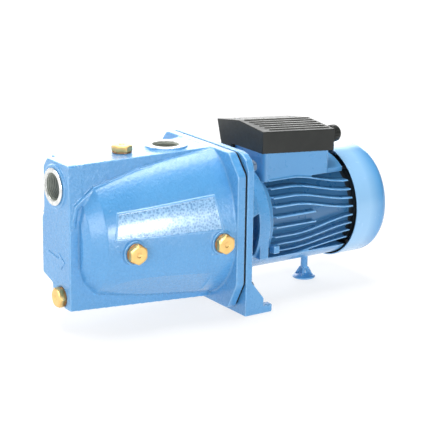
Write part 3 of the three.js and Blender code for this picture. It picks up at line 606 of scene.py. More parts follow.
def casing():
    """The whole pump casing: outside, ports and bosses, then the rooms inside."""
    front_outline = [
        (-34, CASING_LOW_Z), (10, CASING_LOW_Z), (10, 51), (34, 58), (34, 126), (29, 134),
        (29, 189), (20, CASING_TOP_Z), (-30.5, CASING_TOP_Z), (-34, 122),
    ]
    front = prism("x", fillet(front_outline, 3, 4), FACE_X, -190)
    duct = prism("x", mirrored([(33, 120), (30.5, CASING_TOP_Z)]), -196, -13)
    keel = prism("y", [(FACE_X + 0.5, CASING_LOW_Z), (-14, 13.5), (-14, 60), (FACE_X + 0.5, 60)], -34, 34)
    keel = cut(keel, block(-215, -190, 10, 40, 0, 70))
    flange = prism("x", flange_outline(0), *CASING_FLANGE)
    bosses = [
        rod("x", PORT_BOSS_R, FACE_X - 2, -190, (0, SUCTION_Z), 96),
        rod("x", SUCTION_RING_R, PORT_FACE_X + 1.2, -200, (0, SUCTION_Z), 96),
        rod("z", PORT_BOSS_R, 180, DISCHARGE_TOP_Z - 0.3, (DISCHARGE_X, 0), 96),
        block(-47, -10, -86, -60, 84, 98),
    ]
    for x, z, seat in SIDE_PLUGS.values():
        bosses.append(rod("y", 14.5, -seat, -50, (x, z), 72))
    body = barrel(0, -196, -14)
    for side in (-1, 1):
        flat = block(-62, 62, -20, 20, 0, 30)
        turn_about(flat, "Y", -6.6, (0, 0, 0))
        turn_about(flat, "X", side * -133.4, (0, 0, 0))
        body = cut(body, move(flat, Matrix.Translation((-99.5, side * 55.4, 47.7))))
    body = keep(body, prism("y", [(-206, -50), (-14, -50)] + LEDGE[::-1], -120, 120))
    body = union(body, ledges(), duct, keel, front, flange, *bosses)

    main_room = barrel(-CASING_WALL, -178, 5)
    ceiling = block(-300, 50, -200, 200, CASING_TOP_Z - CASING_WALL, 400)
    main_room = cut(main_room, ceiling)
    duct_room = block(-178, 5, -24, 24, 120, CASING_TOP_Z - CASING_WALL)
    suction_outline = mirrored([(24, 74), (24, 128), (20, 134), (20, 186), (14, 191)])
    suction_room = prism("x", fillet(suction_outline, 4, 3), -201, -185)
    cuts = [
        main_room,
        duct_room,
        suction_room,
        rod("x", PORT_HOLE_R, -215, -195, (0, SUCTION_Z), 96),
        rod("z", PORT_HOLE_R, 170, 215, (DISCHARGE_X, 0), 96),
        rod("z", 8, 170, 215, (PRIMING_X, 0), 48),
        rod("x", 8, -215, -150, DRAIN, 48),
        rod("x", 13.2, -215, FACE_X + 2, DRAIN, 64),
        rod("x", 16, -190, -170, (0, SHAFT_Z), 64),
    ]
    for x, z, seat in SIDE_PLUGS.values():
        cuts.append(rod("y", 8, -110, -56, (x, z), 48))
    for bolt in CORNER_BOLTS:
        cuts.append(rod("x", BOLT_HOLE_R - 0.1, -11, 2, bolt, 32))
    return cast(cut(body, *cuts), VOXEL, 3)


finished(casing(), "casing_casting", "pump", CAST_PAINT, ["pump_casing"], None)


PANEL = [(-169, 114.5), (-30, 111), (-37, 155), (-161, 146)]
PANEL_LONG, PANEL_TALL = 130, 36  # about its size, for the distance from its edge
PANEL_BACK = -1.5
PANEL_RIM = 2.4
PANEL_ROWS, PANEL_COLUMNS = 70, 240


def rim_height(edge):
    """Height of the side panel over the barrel, by the distance from its edge: a rim, then the field."""
    rise = min(1.0, edge / 0.9)
    sink = min(1.0, max(0.0, (edge - 1.9) / 0.9))
    return -0.4 + 1.5 * rise * (2 - rise) - 1.0 * sink * sink * (3 - 2 * sink)


def between(a, b, t):
    return a[0] * (1 - t) + b[0] * t, a[1] * (1 - t) + b[1] * t


def side_panel(side):
    """The stippled field in a low rim on the barrel's side."""
    rows, columns = PANEL_ROWS, PANEL_COLUMNS
    verts, faces = [], []
    for outer in (True, False):
        for j in range(rows + 1):
            for i in range(columns + 1):
                u, v = i / columns, j / rows
                x, z = between(between(PANEL[0], PANEL[1], u), between(PANEL[3], PANEL[2], u), v)
                edge = min(u * PANEL_LONG, (1 - u) * PANEL_LONG, v * PANEL_TALL, (1 - v) * PANEL_TALL)
                r = barrel_radius(x) + (rim_height(edge) if outer else PANEL_BACK)
                y = side * r * math.sqrt(1 - ((z - SHAFT_Z) / (CASING_TALL * r)) ** 2)
                verts.append((x, y, z))
    width = columns + 1
    total = width * (rows + 1)
    for j in range(rows):
        for i in range(columns):
            a = j * width + i
            faces.append((a, a + 1, a + 1 + width, a + width))
            faces.append(tuple(total + k for k in (a + width, a + 1 + width, a + 1, a)))
    rim = list(range(width))
    rim += [j * width + columns for j in range(1, rows + 1)]
    rim += [rows * width + i for i in range(columns - 1, -1, -1)]
    rim += [j * width for j in range(rows - 1, 0, -1)]
    for a, b in zip(rim, rim[1:] + rim[:1]):
        faces.append((a, total + a, total + b, b))
    return make_object("side_panel", verts, faces)


def cell_edge(index):
    """How far a cell of the panel's outer face is from the panel's edge."""
    row, column = divmod(index, PANEL_COLUMNS)
    up = min(row, PANEL_ROWS - 1 - row) * PANEL_TALL / PANEL_ROWS
    along = min(column, PANEL_COLUMNS - 1 - column) * PANEL_LONG / PANEL_COLUMNS
    return min(up, along)


for side, label in ((-1, "near"), (1, "far")):
    panel = finished(side_panel(side), f"casing_panel_{label}", "pump", CAST_PAINT)
    panel.data.materials.append(STIPPLE)
    for index in range(PANEL_ROWS * PANEL_COLUMNS):
        panel.data.polygons[2 * index].material_index = 1 if cell_edge(index) > PANEL_RIM else 0


def flow_arrow():
    """The plain raised arrow on the front face."""
    shaft_part = prism("x", [(20, 88.4), (17.5, 84.6), (-10, 81.4), (-10, 84.8)], FACE_X - 0.9, FACE_X + 1)
    head = prism("x", [(-20.5, 82), (-6.5, 92.5), (-9, 83.4), (-11, 72)], FACE_X - 0.9, FACE_X + 1)
    return cast(union(shaft_part, head), 0.35, 4)


finished(flow_arrow(), "flow_arrow", "pump", CAST_PAINT)


THREAD_PITCH = 2.31
THREAD_DEPTH = 0.81


def thread_radius(along, turn, depth):
    """The bore's radius at a depth and a turn: a helix that fades at both ends, and a flared mouth."""
    wave = abs((along / THREAD_PITCH + turn) % 1.0 * 2 - 1)
    mouth = max(0.0, 1 - along / 2.2)
    fade = min(1.0, (depth - along) / 2)
    return PORT_R + 0.1 + THREAD_DEPTH * wave * fade * (1 - mouth) + 1.5 * mouth


def threaded_port(depth, outer, step, lip=0.0):
    """A machined ring with a real helical thread in its bore, along X from its face inwards.

    At the depth step it narrows to a sleeve. A lip makes its face that much wider, and stands
    LIP_RISE proud of the casting."""
    rows = int(depth / THREAD_PITCH * 8)
    face = -LIP_RISE if lip else 0.0
    wide = outer + lip
    stations = [(depth * (1 - i / rows), None) for i in range(rows + 1)]  # None is on the thread
    stations += [(face, PORT_R + 1.6), (face, wide - 0.6), (face + 0.2, wide - 0.15), (face + 0.5, wide)]
    if lip:
        stations += [(face + 0.9, wide), (face + 0.9, outer)]
    stations += [(step, outer), (step, PORT_SLEEVE_R), (depth, PORT_SLEEVE_R)]
    verts, faces = [], []
    for along, radius in stations:
        for k in range(ROUND):
            t = 2 * math.pi * k / ROUND
            r = thread_radius(along, k / ROUND, depth) if radius is None else radius
            verts.append((along, r * math.cos(t), r * math.sin(t)))
    for i in range(len(stations)):
        j = (i + 1) % len(stations)
        for k in range(ROUND):
            n = (k + 1) % ROUND
            faces.append((i * ROUND + k, i * ROUND + n, j * ROUND + n, j * ROUND + k))
    return make_object("port", verts, faces)


def darker_bore(obj, at, across):
    """Gives the faces of the bore, round the point at on the axes across, their own darker material, painted
    shade inside the bore.
    """
    obj.data.materials.append(BORE_SHADE)
    for polygon in obj.data.polygons:
        centre = polygon.center / MM + ORIGIN
        away = math.hypot(getattr(centre, across[0]) - at[0], getattr(centre, across[1]) - at[1])
        polygon.material_index = 1 if away < PORT_R + 1.1 else 0


suction_ring = threaded_port(16, SUCTION_RING_R, 3.2, lip=1.6)
move(suction_ring, Matrix.Translation((PORT_FACE_X, 0, SUCTION_Z)))
finished(suction_ring, "suction_port_thread", "pump", PORT_METAL)
darker_bore(suction_ring, (0, SUCTION_Z), ("y", "z"))

discharge_ring = threaded_port(22, 25.2, 1.2)
move(discharge_ring, Matrix.Rotation(math.radians(90), 4, "Y"))
move(discharge_ring, Matrix.Translation((DISCHARGE_X, 0, DISCHARGE_TOP_Z)))
finished(discharge_ring, "discharge_port_thread", "pump", TOP_METAL)
darker_bore(discharge_ring, (DISCHARGE_X, 0), ("x", "y"))


def flange_gasket():
    plate = prism("x", flange_outline(1.6), -2.85, -0.15)
    mouth = barrel(-CASING_WALL + 1, -60, 5)
    holes = [rod("x", BOLT_HOLE_R, -5, 2, bolt, 32) for bolt in CORNER_BOLTS]
    return bevelled(cut(plate, mouth, *holes), 0.4)


finished(flange_gasket(), "flange_gasket", "pump", RUBBER, ["casing_gasket"])


PLUG_ACROSS = 21.5
PLUG_TOP = 9.2
PLUG_PITCH = 1.8


def plug(shank):
    """Hex plug along +Z with domed, chamfered flats, a dimple and a thread below its washer."""
    crown = [(2, 0), (2, 11.9), (2.5, 12.6), (PLUG_TOP - 2.1, 12.6), (PLUG_TOP - 0.7, 11.3)]
    crown += [(PLUG_TOP - 0.1, 9.6), (PLUG_TOP, 8.9), (PLUG_TOP, 3.4)]
    crown += [(PLUG_TOP - 0.8, 2.6), (PLUG_TOP - 1, 0)]
    top = turned(fillet(crown, 0.35, 3, False), 96, axis="z", at=(0, 0))
    body = keep(hexagon("z", PLUG_ACROSS, 1.9, PLUG_TOP + 1, (0, 0)), top)
    body = bevelled(body, 0.45, 25, 3)
    bottom = []
    steps = int(shank / PLUG_PITCH * 4)
    for i in range(steps + 1):
        z = -shank + (shank - 0.4) * i / steps
        lead = min(1.0, (z + shank) / 2.5)
        bottom.append((z, 6.4 + lead * (0.4 + 0.7 * abs(((z / PLUG_PITCH) % 1.0) * 2 - 1))))
    profile = [(-shank, 0)] + bottom + [(0, 6.9), (2.4, 6.9), (2.4, 0)]
    stem = turned(profile, 64, axis="z", at=(0, 0))
    return union(body, stem)


def washer():
    """The copper ring under a plug, along +Z."""
    outline = [(0.3, 7.9), (1.9, 7.9), (1.9, 11.9), (0.3, 11.9)]
    return turned(fillet(outline, 0.5, 3), 96, axis="z", at=(0, 0))


def place_plug(name, matrix, body, shank):
    finished(move(plug(shank), matrix), f"{name}_hex", body, BRASS, [name])
    finished(move(washer(), matrix), f"{name}_seal", body, COPPER, [f"{name}_washer"])


place_plug("priming_plug", Matrix.Translation((PRIMING_X, 0, CASING_TOP_Z)), "priming_plug_body", 13)
DRAIN_AT = Matrix.Translation((FACE_X + 2, DRAIN[0], DRAIN[1])) @ Matrix.Rotation(math.radians(-90), 4, "Y")
place_plug("drain_plug", DRAIN_AT, "drain_plug_body", 14)
for name, (x, z, seat) in SIDE_PLUGS.items():
    at = Matrix.Translation((x, -seat, z)) @ Matrix.Rotation(math.radians(90), 4, "X")
    place_plug(name, at, "pump", 12)


# ---- motor bracket -------------------------------------------------------------------------------
def bracket():
    """The plate with its bell, foot pads and bearing web, then the windows, slots and holes."""
    outline = mirrored([
        (38, 20), (43, 8), (FOOT[1], 0), (FLANGE_HALF_W, 0), (FLANGE_HALF_W, 181), (85, 193), (77, 198.5),
        (68, FLANGE_TOP_Z),
    ])
    plate = prism("x", outline, 0, 9)
    bell = turned(
        [(5, 66), (5, 84), (12, 84), (34, 70), (50, 70), (50, 63), (36, 63), (14, 77), (12, 66)]
    )
    hub = turned([(0, 12), (0, 24), (12, 24), (16, 20), (16, 12)], 96)
    web = turned([(38, 14), (38, 66), (42, 66), (46, 28), (50, 28), (50, 14)])
    parts = [bell, hub, web]
    for side in (-1, 1):
        y0, y1 = sorted((side * FOOT[1], side * FLANGE_HALF_W))
        pad = fillet([(4, y0), (FOOT[0], y0), (FOOT[0], y1), (4, y1)], [0, 4, 4, 0])
        parts.append(prism("z", pad, 0, FOOT[2]))
        rib = FLANGE_HALF_W - 7 if side > 0 else -FLANGE_HALF_W
        parts.append(prism("y", [(4, 3), (27, 3), (27, 19), (8, 43), (4, 43)], rib, rib + 7))
        inner = side * 54
        parts.append(prism("y", [(4, 3), (27, 3), (27, 12), (8, 40), (4, 40)], inner - 3, inner + 3))
        parts.append(block(37, 50, side * 58.5 - 8, side * 58.5 + 8, 59, 82))
    for y, z in TIE_RODS:
        parts.append(rod("x", 6, 34, 50, (y, SHAFT_Z + z), 32))
    for bolt in CORNER_BOLTS:
        parts.append(rod("x", 8.5, 2, BOLT_SEAT_X, bolt, 48))
    body = union(plate, *parts)
    cuts = [
        rod("x", 16, -1, 6.8, (0, SHAFT_Z), 64),
        rod("x", 12.5, -5, 60, (0, SHAFT_Z), 64),
        rod("x", 20.3, 36.6, 60, (0, SHAFT_Z), 64),
        block(14, 33, -16, 16, 10, 45),
    ]
    for side in (-1, 1):
        y0, y1 = sorted((side * 30, side * 100))
        window = fillet([(y0, 66), (y1, 66), (y1, 119), (y0, 119)], 4)
        cuts.append(prism("x", window, 12, 33.5))
        slot_outline = fillet([(20, 64), (50, 64), (50, 78), (20, 78)], [6.2, 0, 0, 6.2])
        cuts.append(prism("z", [(x, side * y) for x, y in slot_outline], -5, 12))
    for y, z in TIE_RODS:
        cuts.append(rod("x", TIE_HOLE_R, 30, 60, (y, SHAFT_Z + z), 24))
    for bolt in CORNER_BOLTS:
        cuts.append(rod("x", BOLT_HOLE_R, -3, 20, bolt, 32))
    return cast(cut(body, *cuts), VOXEL, 3)


finished(bracket(), "bracket_casting", "pump", CAST_PAINT, ["motor_bracket"], None)


def corner_bolt(at):
    """A flanged hex bolt along X, with its shank through the flanges."""
    crown = [(0, 0), (0, 6.4), (0.5, 6.9), (4.3, 7.5), (5.2, 6.5), (5.5, 5.8), (5.5, 0)]
    head = keep(hexagon("x", 13, -0.1, 6.5, (0, 0)), turned(crown, 64, at=(0, 0)))
    collar = fillet([(0, 0), (0, 7.4), (1.1, 7.4), (1.3, 0)], 0.3, 3, False)
    head = bevelled(union(head, turned(collar, 64, at=(0, 0))), 0.3, 25, 2)
    seat = BOLT_SEAT_X + 0.3
    shank = rod("x", 3.9, -10 - seat, 0.8, (0, 0), 32)
    return move(union(head, shank), Matrix.Translation((seat, at[0], at[1])))


for i, bolt in enumerate(CORNER_BOLTS):
    node = f"casing_bolt_{i + 1}"
    finished(corner_bolt(bolt), f"corner_bolt_{i + 1}", "pump", BOLT_ZINC_BLUE_REFLECTION, [node])


# ---- motor frame ---------------------------------------------------------------------------------
def long_fin(group, index):
    """One of a group of fins that run straight, then bend in an S to another height."""
    front, rear, step = group
    stations = [FIN_X[0]] + [FIN_BEND[0] + (FIN_BEND[1] - FIN_BEND[0]) * i / 40 for i in range(41)]
    over, under = [], []
    for x in stations:
        t = max(0.0, (x - FIN_BEND[0]) / (FIN_BEND[1] - FIN_BEND[0]))
        z = SHAFT_Z + front + (rear - front) * t * t * (3 - 2 * t) + index * step
        over.append((x, z + FIN_T / 2))
        under.append((x, z - FIN_T / 2))
    return prism("y", under + over[::-1], -80, 80)


def ring(x0, x1, inner, outer, sides=None):
    return turned([(x0, inner), (x1, inner), (x1, outer), (x0, outer)], sides)


def motor_frame():
    """The finned shell with the terminal box's base, the crown behind it and the flat belly."""
    x0, x1 = FRAME_X
    fins = [long_fin(group, i) for group in LONG_FINS for i in range(4)]
    for height in SHORT_FINS:
        z = SHAFT_Z + height
        fins.append(block(FIN_X[0], SHORT_FIN_END, -80, 80, z - FIN_T / 2, z + FIN_T / 2))
    fins = keep(union(*fins), rod("x", FIN_R, x0, x1, (0, SHAFT_Z), ROUND))
    sill = keep(long_fin(LONG_FINS[0], 3), rod("x", SILL_R, x0, FIN_X[1], (0, SHAFT_Z), ROUND))
    sill = keep(sill, block(x0, x1, -SILL_Y, SILL_Y, SHAFT_Z, 200))
    collar = ring(x0, x0 + 9, FRAME_BORE_R, 62.5)
    shell = ring(x0, x1, FRAME_BORE_R, FRAME_SHELL_R)
    belly = keep(ring(x0, x1, BELLY_R - 4, BELLY_R), block(0, 300, -100, 100, 0, BELLY_TOP))
    inside = [block(x0, x1, y - 1.5, y + 1.5, 35, 55) for y in (-16, 0, 16)]
    inside.append(block(x0, x1, -49, 49, BELLY_TOP - 3, BELLY_TOP))
    inside = keep(union(*inside), rod("x", BELLY_R, x0, x1, (0, SHAFT_Z), ROUND))
    crown = block(BOX_X[1] - 1, FIN_X[1], -41, 41, 148, 190)
    crown = keep(crown, rod("x", FIN_R, x0, x1, (0, SHAFT_Z), ROUND))
    corners = [(BOX_X[0], BOX_Y[0]), (BOX_X[1], BOX_Y[0]), (BOX_X[1], BOX_Y[1]), (BOX_X[0], BOX_Y[1])]
    base_outline = fillet(corners, 6, 6)
    base = prism("z", base_outline, 150, BOX_TOP + 6)
    lugs = [block(59.2, 67.4, side * 60 - 5.5, side * 60 + 5.5, 63, 72.5) for side in (-1, 1)]
    foot = rod("z", 9, 33, 50, (SUPPORT_X, 0), 64)
    body = union(shell, collar, fins, sill, belly, crown, inside, base, foot, *lugs)
    room = block(BOX_X[0] + 5, BOX_X[1] - 5, BOX_Y[0] + 4.5, BOX_Y[1] - 4.5, BOX_FLOOR, BOX_TOP + 10)
    mouth = falling(block(BOX_X[0] - 20, BOX_X[1] + 20, -70, 70, BOX_TOP, BOX_TOP + 30))
    body = cut(body, room, mouth)
    posts = [rod("z", 4.5, BOX_FLOOR - 3, BOX_TOP, (x, LID_SCREW_Y), 40) for x in LID_SCREWS]
    body = union(body, *[falling(post) for post in posts])
    cuts = [
        rod("x", FRAME_BORE_R, 0, 260, (0, SHAFT_Z), ROUND),
        rod("z", 4.3, 25, 47, (SUPPORT_X, 0), 40),
        rod("z", 5, BOX_FLOOR - 12, BOX_FLOOR + 2, (100, 0), 40),
    ]
    for x in LID_SCREWS:
        cuts.append(rod("z", LID_SCREW_HOLE_R, BOX_FLOOR + 4, BOX_TOP + 10, (x, LID_SCREW_Y), 24))
    cuts += [rod("x", TIE_HOLE_R, 40, 200, (y, SHAFT_Z + z), 24) for y, z in TIE_RODS]
    return cast(cut(body, *cuts), FRAME_VOXEL, 3)


frame_casting = finished(
    motor_frame(), "frame_casting", "pump", FRAME_PAINT, ["motor_frame"], None
)
# The bore and everything under the fan cover take the near-black painted shade of the gap.
frame_casting.data.materials.append(GAP_SHADE)
for polygon in frame_casting.data.polygons:
    centre = polygon.center / MM + ORIGIN
    away = math.hypot(centre.y, centre.z - SHAFT_Z)
    in_bore = away < FRAME_BORE_R - 1 and centre.z < 148
    polygon.material_index = 1 if in_bore or centre.x > COVER["x0"] - 1.6 else 0


def support_foot():
    """The little trumpet under the motor, with four ribs."""
    profile = [(0, 0), (0, 14.2), (0.8, 15), (2.2, 15), (3.2, 13.6), (6, 6.4), (12, 4.6), (31, 4.6), (31, 0)]
    stem = turned(profile, 96, axis="z", at=(0, 0))
    ribs = []
    for turn in (45, 135):
        rib = prism("y", [(-13, 2), (13, 2), (6, 14), (-6, 14)], -1.2, 1.2)
        ribs.append(turn_about(rib, "Z", turn, (0, 0, 0)))
    made = union(stem, rod("z", 4, 30, 45, (0, 0), 32), *ribs)
    return cast(move(made, Matrix.Translation((SUPPORT_X, 0, 0))), 0.6, 3)


finished(
    support_foot(), "support_foot_casting", "pump", FINE_PAINT, ["support_foot"], None
)


# ---- fan cover -----------------------------------------------------------------------------------
def fan_cover():
    """The pressed cup with three rings of slots between four spokes."""
    x0, x1, r, t, bend = COVER["x0"], COVER["x1"], COVER["r"], COVER["t"], COVER["round"]
    outside = [(x0, r - 0.2), (x0 + 0.3, r)]
    inside = [(x0, r - t + 0.2), (x0 + 0.3, r - t)]
    for i in range(13):
        a = math.pi / 2 * i / 12
        outside.append((x1 - bend + bend * math.sin(a), r - bend + bend * math.cos(a)))
        inside.append((x1 - bend + (bend - t) * math.sin(a), r - bend + (bend - t) * math.cos(a)))
    profile = [(x1 - t, 0)] + inside[::-1] + outside + [(x1, 0)]
    cup = turned(profile, 192)
    tools = []
    for inner in (18, 31, 44):
        slots = ring(x1 - 5, x1 + 5, inner, inner + 7.6, 128)
        spokes = []
        for turn in (45, 135):
            spoke = block(x1 - 6, x1 + 6, -80, 80, SHAFT_Z - 2.5, SHAFT_Z + 2.5)
            spokes.append(turn_about(spoke, "X", turn, (0, 0, SHAFT_Z)))
        tools.append(cut(slots, *spokes))
    for degrees in COVER_SCREWS:
        hole = rod("z", 2.2, SHAFT_Z + 60, SHAFT_Z + 80, (COVER_SCREW_X, 0), 32)
        tools.append(turn_about(hole, "X", degrees - 90, (0, 0, SHAFT_Z)))
    return bevelled(cut(cup, *tools), 0.35, 50, 2)


cover = finished(fan_cover(), "fan_cover_sheet", "pump", SHEET_PAINT, ["fan_cover"], 30)
# The cover's inside wall takes the near-black painted shade of the gap.
cover.data.materials.append(GAP_SHADE)
for polygon in cover.data.polygons:
    centre = polygon.center / MM + ORIGIN
    outward = Vector((0, centre.y, centre.z - SHAFT_Z))
    on_wall = centre.x < COVER["x1"] - COVER["round"]
    polygon.material_index = 1 if on_wall and polygon.normal.dot(outward) < 0 else 0


def pan_head(base, r, height, tail, stem):
    """A round screw head along +Z from base, with a cross recess and its shank below."""
    profile = [(base, 0), (base, r - 0.2), (base + 0.3, r), (base + height * 0.5, r * 0.92)]
    profile += [(base + height * 0.85, r * 0.6), (base + height, r * 0.2), (base + height, 0)]
    head = turned(profile, 48, axis="z", at=(0, 0))
    for turn in (0, 90):
        recess = block(-r * 0.55, r * 0.55, -r * 0.11, r * 0.11, base + height * 0.45, base + height + 1)
        head = cut(head, turn_about(recess, "Z", turn + 20, (0, 0, 0)))
    return union(bevelled(head, 0.12, 40, 2), rod("z", stem, tail, base + 0.3, (0, 0), 24))


for i, degrees in enumerate(COVER_SCREWS):
    screw = pan_head(COVER["r"] + 0.2, 4, 2, 62, 1.6)
    move(screw, Matrix.Translation((COVER_SCREW_X, 0, SHAFT_Z)))
    turn_about(screw, "X", degrees - 90, (0, 0, SHAFT_Z))
    node = f"fan_cover_screw_{i + 1}"
    finished(screw, f"cover_screw_{i + 1}", "pump", ZINC, [node])


# ---- terminal box --------------------------------------------------------------------------------
GASKET_TOP = BOX_TOP + 2
LID_EAVE = 211
LID_RIDGE = 216
LID_Y = (-52, 48.5)
LID_RIDGE_Y = 2
LID_SHARE = (LID_RIDGE - LID_EAVE) / (LID_RIDGE_Y - LID_Y[0])  # the near slope's own fall


def drop(x):
    """How far the sheared lid has come down at X."""
    return LID_FALL * (x - (BOX_X[0] + BOX_X[1]) / 2)


def lid():
    """The terminal box's lid with its gland hole, sheared to fall to the rear, and its ribs."""
    x0, x1 = LID_X
    y0, y1 = LID_Y
    foot, near, far_eave = 40.5, 183.5, 209.5
    outline = [(y0 + 1, near), (foot, near), (y1, far_eave), (LID_RIDGE_Y, LID_RIDGE), (y0, LID_EAVE)]
    gable = prism("x", outline, x0, x1)
    skirt = block(x0, x1, 15, foot - 1, 177, near + 1)
    seat = block(BOX_X[0] - 0.3, BOX_X[1] + 0.3, BOX_Y[0] - 0.3, BOX_Y[1] + 0.3, 172, GASKET_TOP + 0.3)
    room = prism("x", [
        (BOX_Y[0] + 5, GASKET_TOP - 1), (BOX_Y[1] - 5, GASKET_TOP - 1), (BOX_Y[1], LID_EAVE - 3),
        (LID_RIDGE_Y, LID_RIDGE - 3), (y0 + 5, LID_EAVE - 3),
    ], BOX_X[0] + 5, x1 - 5)
    body = falling(cut(union(gable, skirt), seat, room))
    body = cut(body, rod("x", 8.2, x1 - 15, x1 + 5, GLAND, 64))
    for x in LID_SCREWS:
        top = LID_EAVE - drop(x)
        body = union(body, falling(rod("z", 5, GASKET_TOP + 0.3, LID_EAVE, (x, LID_SCREW_Y), 48)))
        body = cut(body, rod("z", LID_SCREW_HOLE_R, BOX_TOP - 10, top + 20, (x, LID_SCREW_Y), 32))
        body = cut(body, rod("z", 4.4, top - 0.5, top + 20, (x, LID_SCREW_Y), 48))
    body = cast(body, LID_VOXEL, 3)
    ribs = []
    for i in range(6):
        down = 2 + i * 8.6
        start = x0 + 8 + i * 1.5
        outline = fillet([(start, -1.4), (x1 - 3, -1.4), (x1 - 3, 1.4), (start, 1.4)], 1.35, 4)
        rib = turn_about(prism("z", outline, -2, 0.95), "X", math.degrees(math.atan(LID_SHARE)), (0, 0, 0))
        move(rib, Matrix.Translation((0, LID_RIDGE_Y - down, LID_RIDGE - down * LID_SHARE)))
        ribs.append(falling(bevelled(rib, 0.5, 30, 3)))
    return body, ribs


lid_shell, lid_ribs = lid()
finished(lid_shell, "lid_moulding", "pump", BLACK, ["terminal_box_lid"], None)
for i, rib in enumerate(lid_ribs):
    finished(rib, f"lid_rib_{i + 1}", "pump", RIB_HIGHLIGHT)

for i, x in enumerate(LID_SCREWS):
    screw = pan_head(LID_EAVE - drop(x) - 0.2, 3.8, 2.1, BOX_FLOOR + 10, 1.9)
    move(screw, Matrix.Translation((x, LID_SCREW_Y, 0)))
    finished(screw, f"box_screw_{i + 1}", "pump", ZINC, [f"lid_screw_{i + 1}"])


def gland_body():
    """The gland's hexagon and threaded tube."""
    x = LID_X[1]
    collar = bevelled(hexagon("x", 19, x + 0.3, x + 6.5, GLAND), 0.6, 25, 3)
    profile = [(x - 8, 6), (x - 8, 7.6), (x + 3, 7.6)]
    for i in range(9):
        profile.append((x + 6.6 + i * 0.75, 7.9 if i % 2 else 7.2))
    profile += [(x + 13, 7.2), (x + 13, 6)]
    tube = turned(profile, 64, at=GLAND)
    return union(cut(collar, rod("x", 6.5, x - 5, x + 20, GLAND, 48)), tube)


def dome_nut():
    """The gland's grooved cap."""
    x = LID_X[1]
    profile = [(x + 6.8, 8.3), (x + 6.8, 10.3), (x + 7.4, 10.9), (x + 14.6, 10.9), (x + 16.2, 10.4)]
    profile += [(x + 18.6, 8.4), (x + 19.7, 7.2), (x + 20, 6.2), (x + 20, 5.2), (x + 19.2, 5), (x + 13.4, 5)]
    profile += [(x + 13.4, 8.3)]
    nut = turned(profile, 96, at=GLAND)
    grooves = []
    for k in range(12):
        a = 2 * math.pi * k / 12
        at = (GLAND[0] + 11.3 * math.cos(a), GLAND[1] + 11.3 * math.sin(a))
        grooves.append(rod("x", 1.0, x + 6, x + 15.4, at, 20))
    return bevelled(cut(nut, *grooves), 0.25, 40, 2)


finished(gland_body(), "gland_base", "pump", BLACK, ["gland_body"])
finished(dome_nut(), "gland_cap", "pump", BLACK, ["gland_dome_nut"])


# ---- CAD nodes that stay, with rounded edges and their own materials ------------------------------
KEPT = {
    "jet_nozzle": BRASS, "diffuser": GREY, "diffuser_seal_ring": RUBBER, "impeller": BRASS,
    "impeller_key": STEEL, "impeller_nut": STEEL, "seal_rotary_head": STEEL, "seal_seat": CERAMIC,
    "water_slinger": RUBBER, "stator_core": LAMINATED, "winding_front": WINDING,
    "winding_rear": WINDING, "rotor_core": LAMINATED, "shaft": STEEL,
    "front_bearing_outer_ring": STEEL, "front_bearing_inner_ring": STEEL, "front_bearing_ball_cage": STEEL,
    "rear_bearing_outer_ring": STEEL, "rear_bearing_inner_ring": STEEL, "rear_bearing_ball_cage": STEEL,
    # the rear end shield takes the near-black painted shade of the gap too
    "rear_end_shield": GAP_SHADE, "tie_rod_1": ZINC, "tie_rod_2": ZINC, "tie_rod_3": ZINC,
    "tie_rod_4": ZINC, "cooling_fan": BLACK, "fan_circlip": STEEL, "lid_gasket": RUBBER,
    "gland_grommet": RUBBER, "terminal_board": PALE, "run_capacitor": PALE,
}
for name, material in KEPT.items():
    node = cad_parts[name]
    node.data.materials.clear()
    node.data.materials.append(material)
    bevel = node.modifiers.new("edge", "BEVEL")
    bevel.width = 0.3 * MM
    bevel.segments = 2
    bevel.limit_method = "ANGLE"
    bevel.angle_limit = math.radians(40)


# ---- floor, light and camera ----------------------------------------------------------------------
floor = make_object("floor", [(-9, -9, 0), (9, -9, 0), (9, 9, 0), (-9, 9, 0)], [(0, 1, 2, 3)])
floor.data.materials.append(FLOOR)
floor.location.z = -0.4 * MM

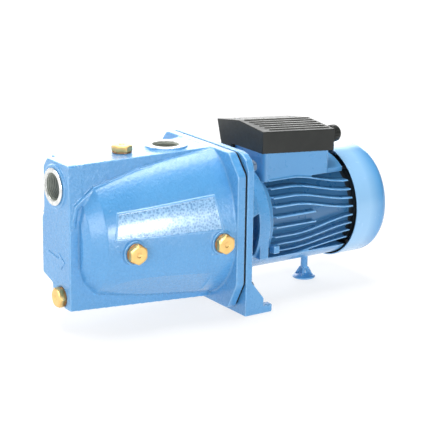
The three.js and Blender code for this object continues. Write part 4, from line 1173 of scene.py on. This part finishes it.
world = bpy.data.worlds.new("studio")
bpy.context.scene.world = world
world.use_nodes = True
world.node_tree.nodes["Background"].inputs["Color"].default_value = (1, 1, 1, 1)
world.node_tree.nodes["Background"].inputs["Strength"].default_value = 0.16


def soft_light(name, size, power, place, target=(0, 0, 0.1)):
    data = bpy.data.lights.new(name, "AREA")
    data.shape = "RECTANGLE"
    data.size, data.size_y = size
    data.energy = power
    lamp = bpy.data.objects.new(name, data)
    bpy.context.scene.collection.objects.link(lamp)
    lamp.location = place
    lamp.rotation_euler = (Vector(target) - Vector(place)).to_track_quat("-Z", "Y").to_euler()


soft_light("top_light", (1.1, 0.8), 23, (0.0, 0.15, 1.4))
soft_light("key_light", (1.0, 0.7), 12.5, (-1.7, -1.0, 0.6))
soft_light("left_light", (0.7, 1.0), 13, (-1.7, 0.7, 0.5))
soft_light("front_light", (0.55, 0.3), 9.5, (0.05, -1.45, 0.36), (-0.1, -0.07, 0.13))
soft_light("back_light", (5.0, 2.4), 110, (0.9, 2.6, 0.9))

AZIMUTH, ELEVATION, ROLL = 0.590462, 0.271589, 0.013781
FOCAL_PX, IMAGE_PX = 1558.4, 425
SENSOR = 36
CAMERA_AT = Vector((-1024.616, -1544.8, 625.432))
right = Vector((math.cos(AZIMUTH), -math.sin(AZIMUTH), 0))
back = Vector((
    -math.sin(AZIMUTH) * math.cos(ELEVATION), -math.cos(AZIMUTH) * math.cos(ELEVATION), math.sin(ELEVATION),
))
up = back.cross(right)
axis_x = right * math.cos(ROLL) + up * math.sin(ROLL)
axis_y = up * math.cos(ROLL) - right * math.sin(ROLL)
camera_data = bpy.data.cameras.new("camera")
camera_data.sensor_width = SENSOR
camera_data.lens = SENSOR * FOCAL_PX / IMAGE_PX
camera = bpy.data.objects.new("camera", camera_data)
bpy.context.scene.collection.objects.link(camera)
camera.matrix_world = Matrix((
    (axis_x.x, axis_y.x, back.x, 0), (axis_x.y, axis_y.y, back.y, 0), (axis_x.z, axis_y.z, back.z, 0),
    (0, 0, 0, 1),
))
camera.location = (CAMERA_AT - ORIGIN) * MM
bpy.context.scene.camera = camera
bpy.context.scene.view_settings.view_transform = "Standard"
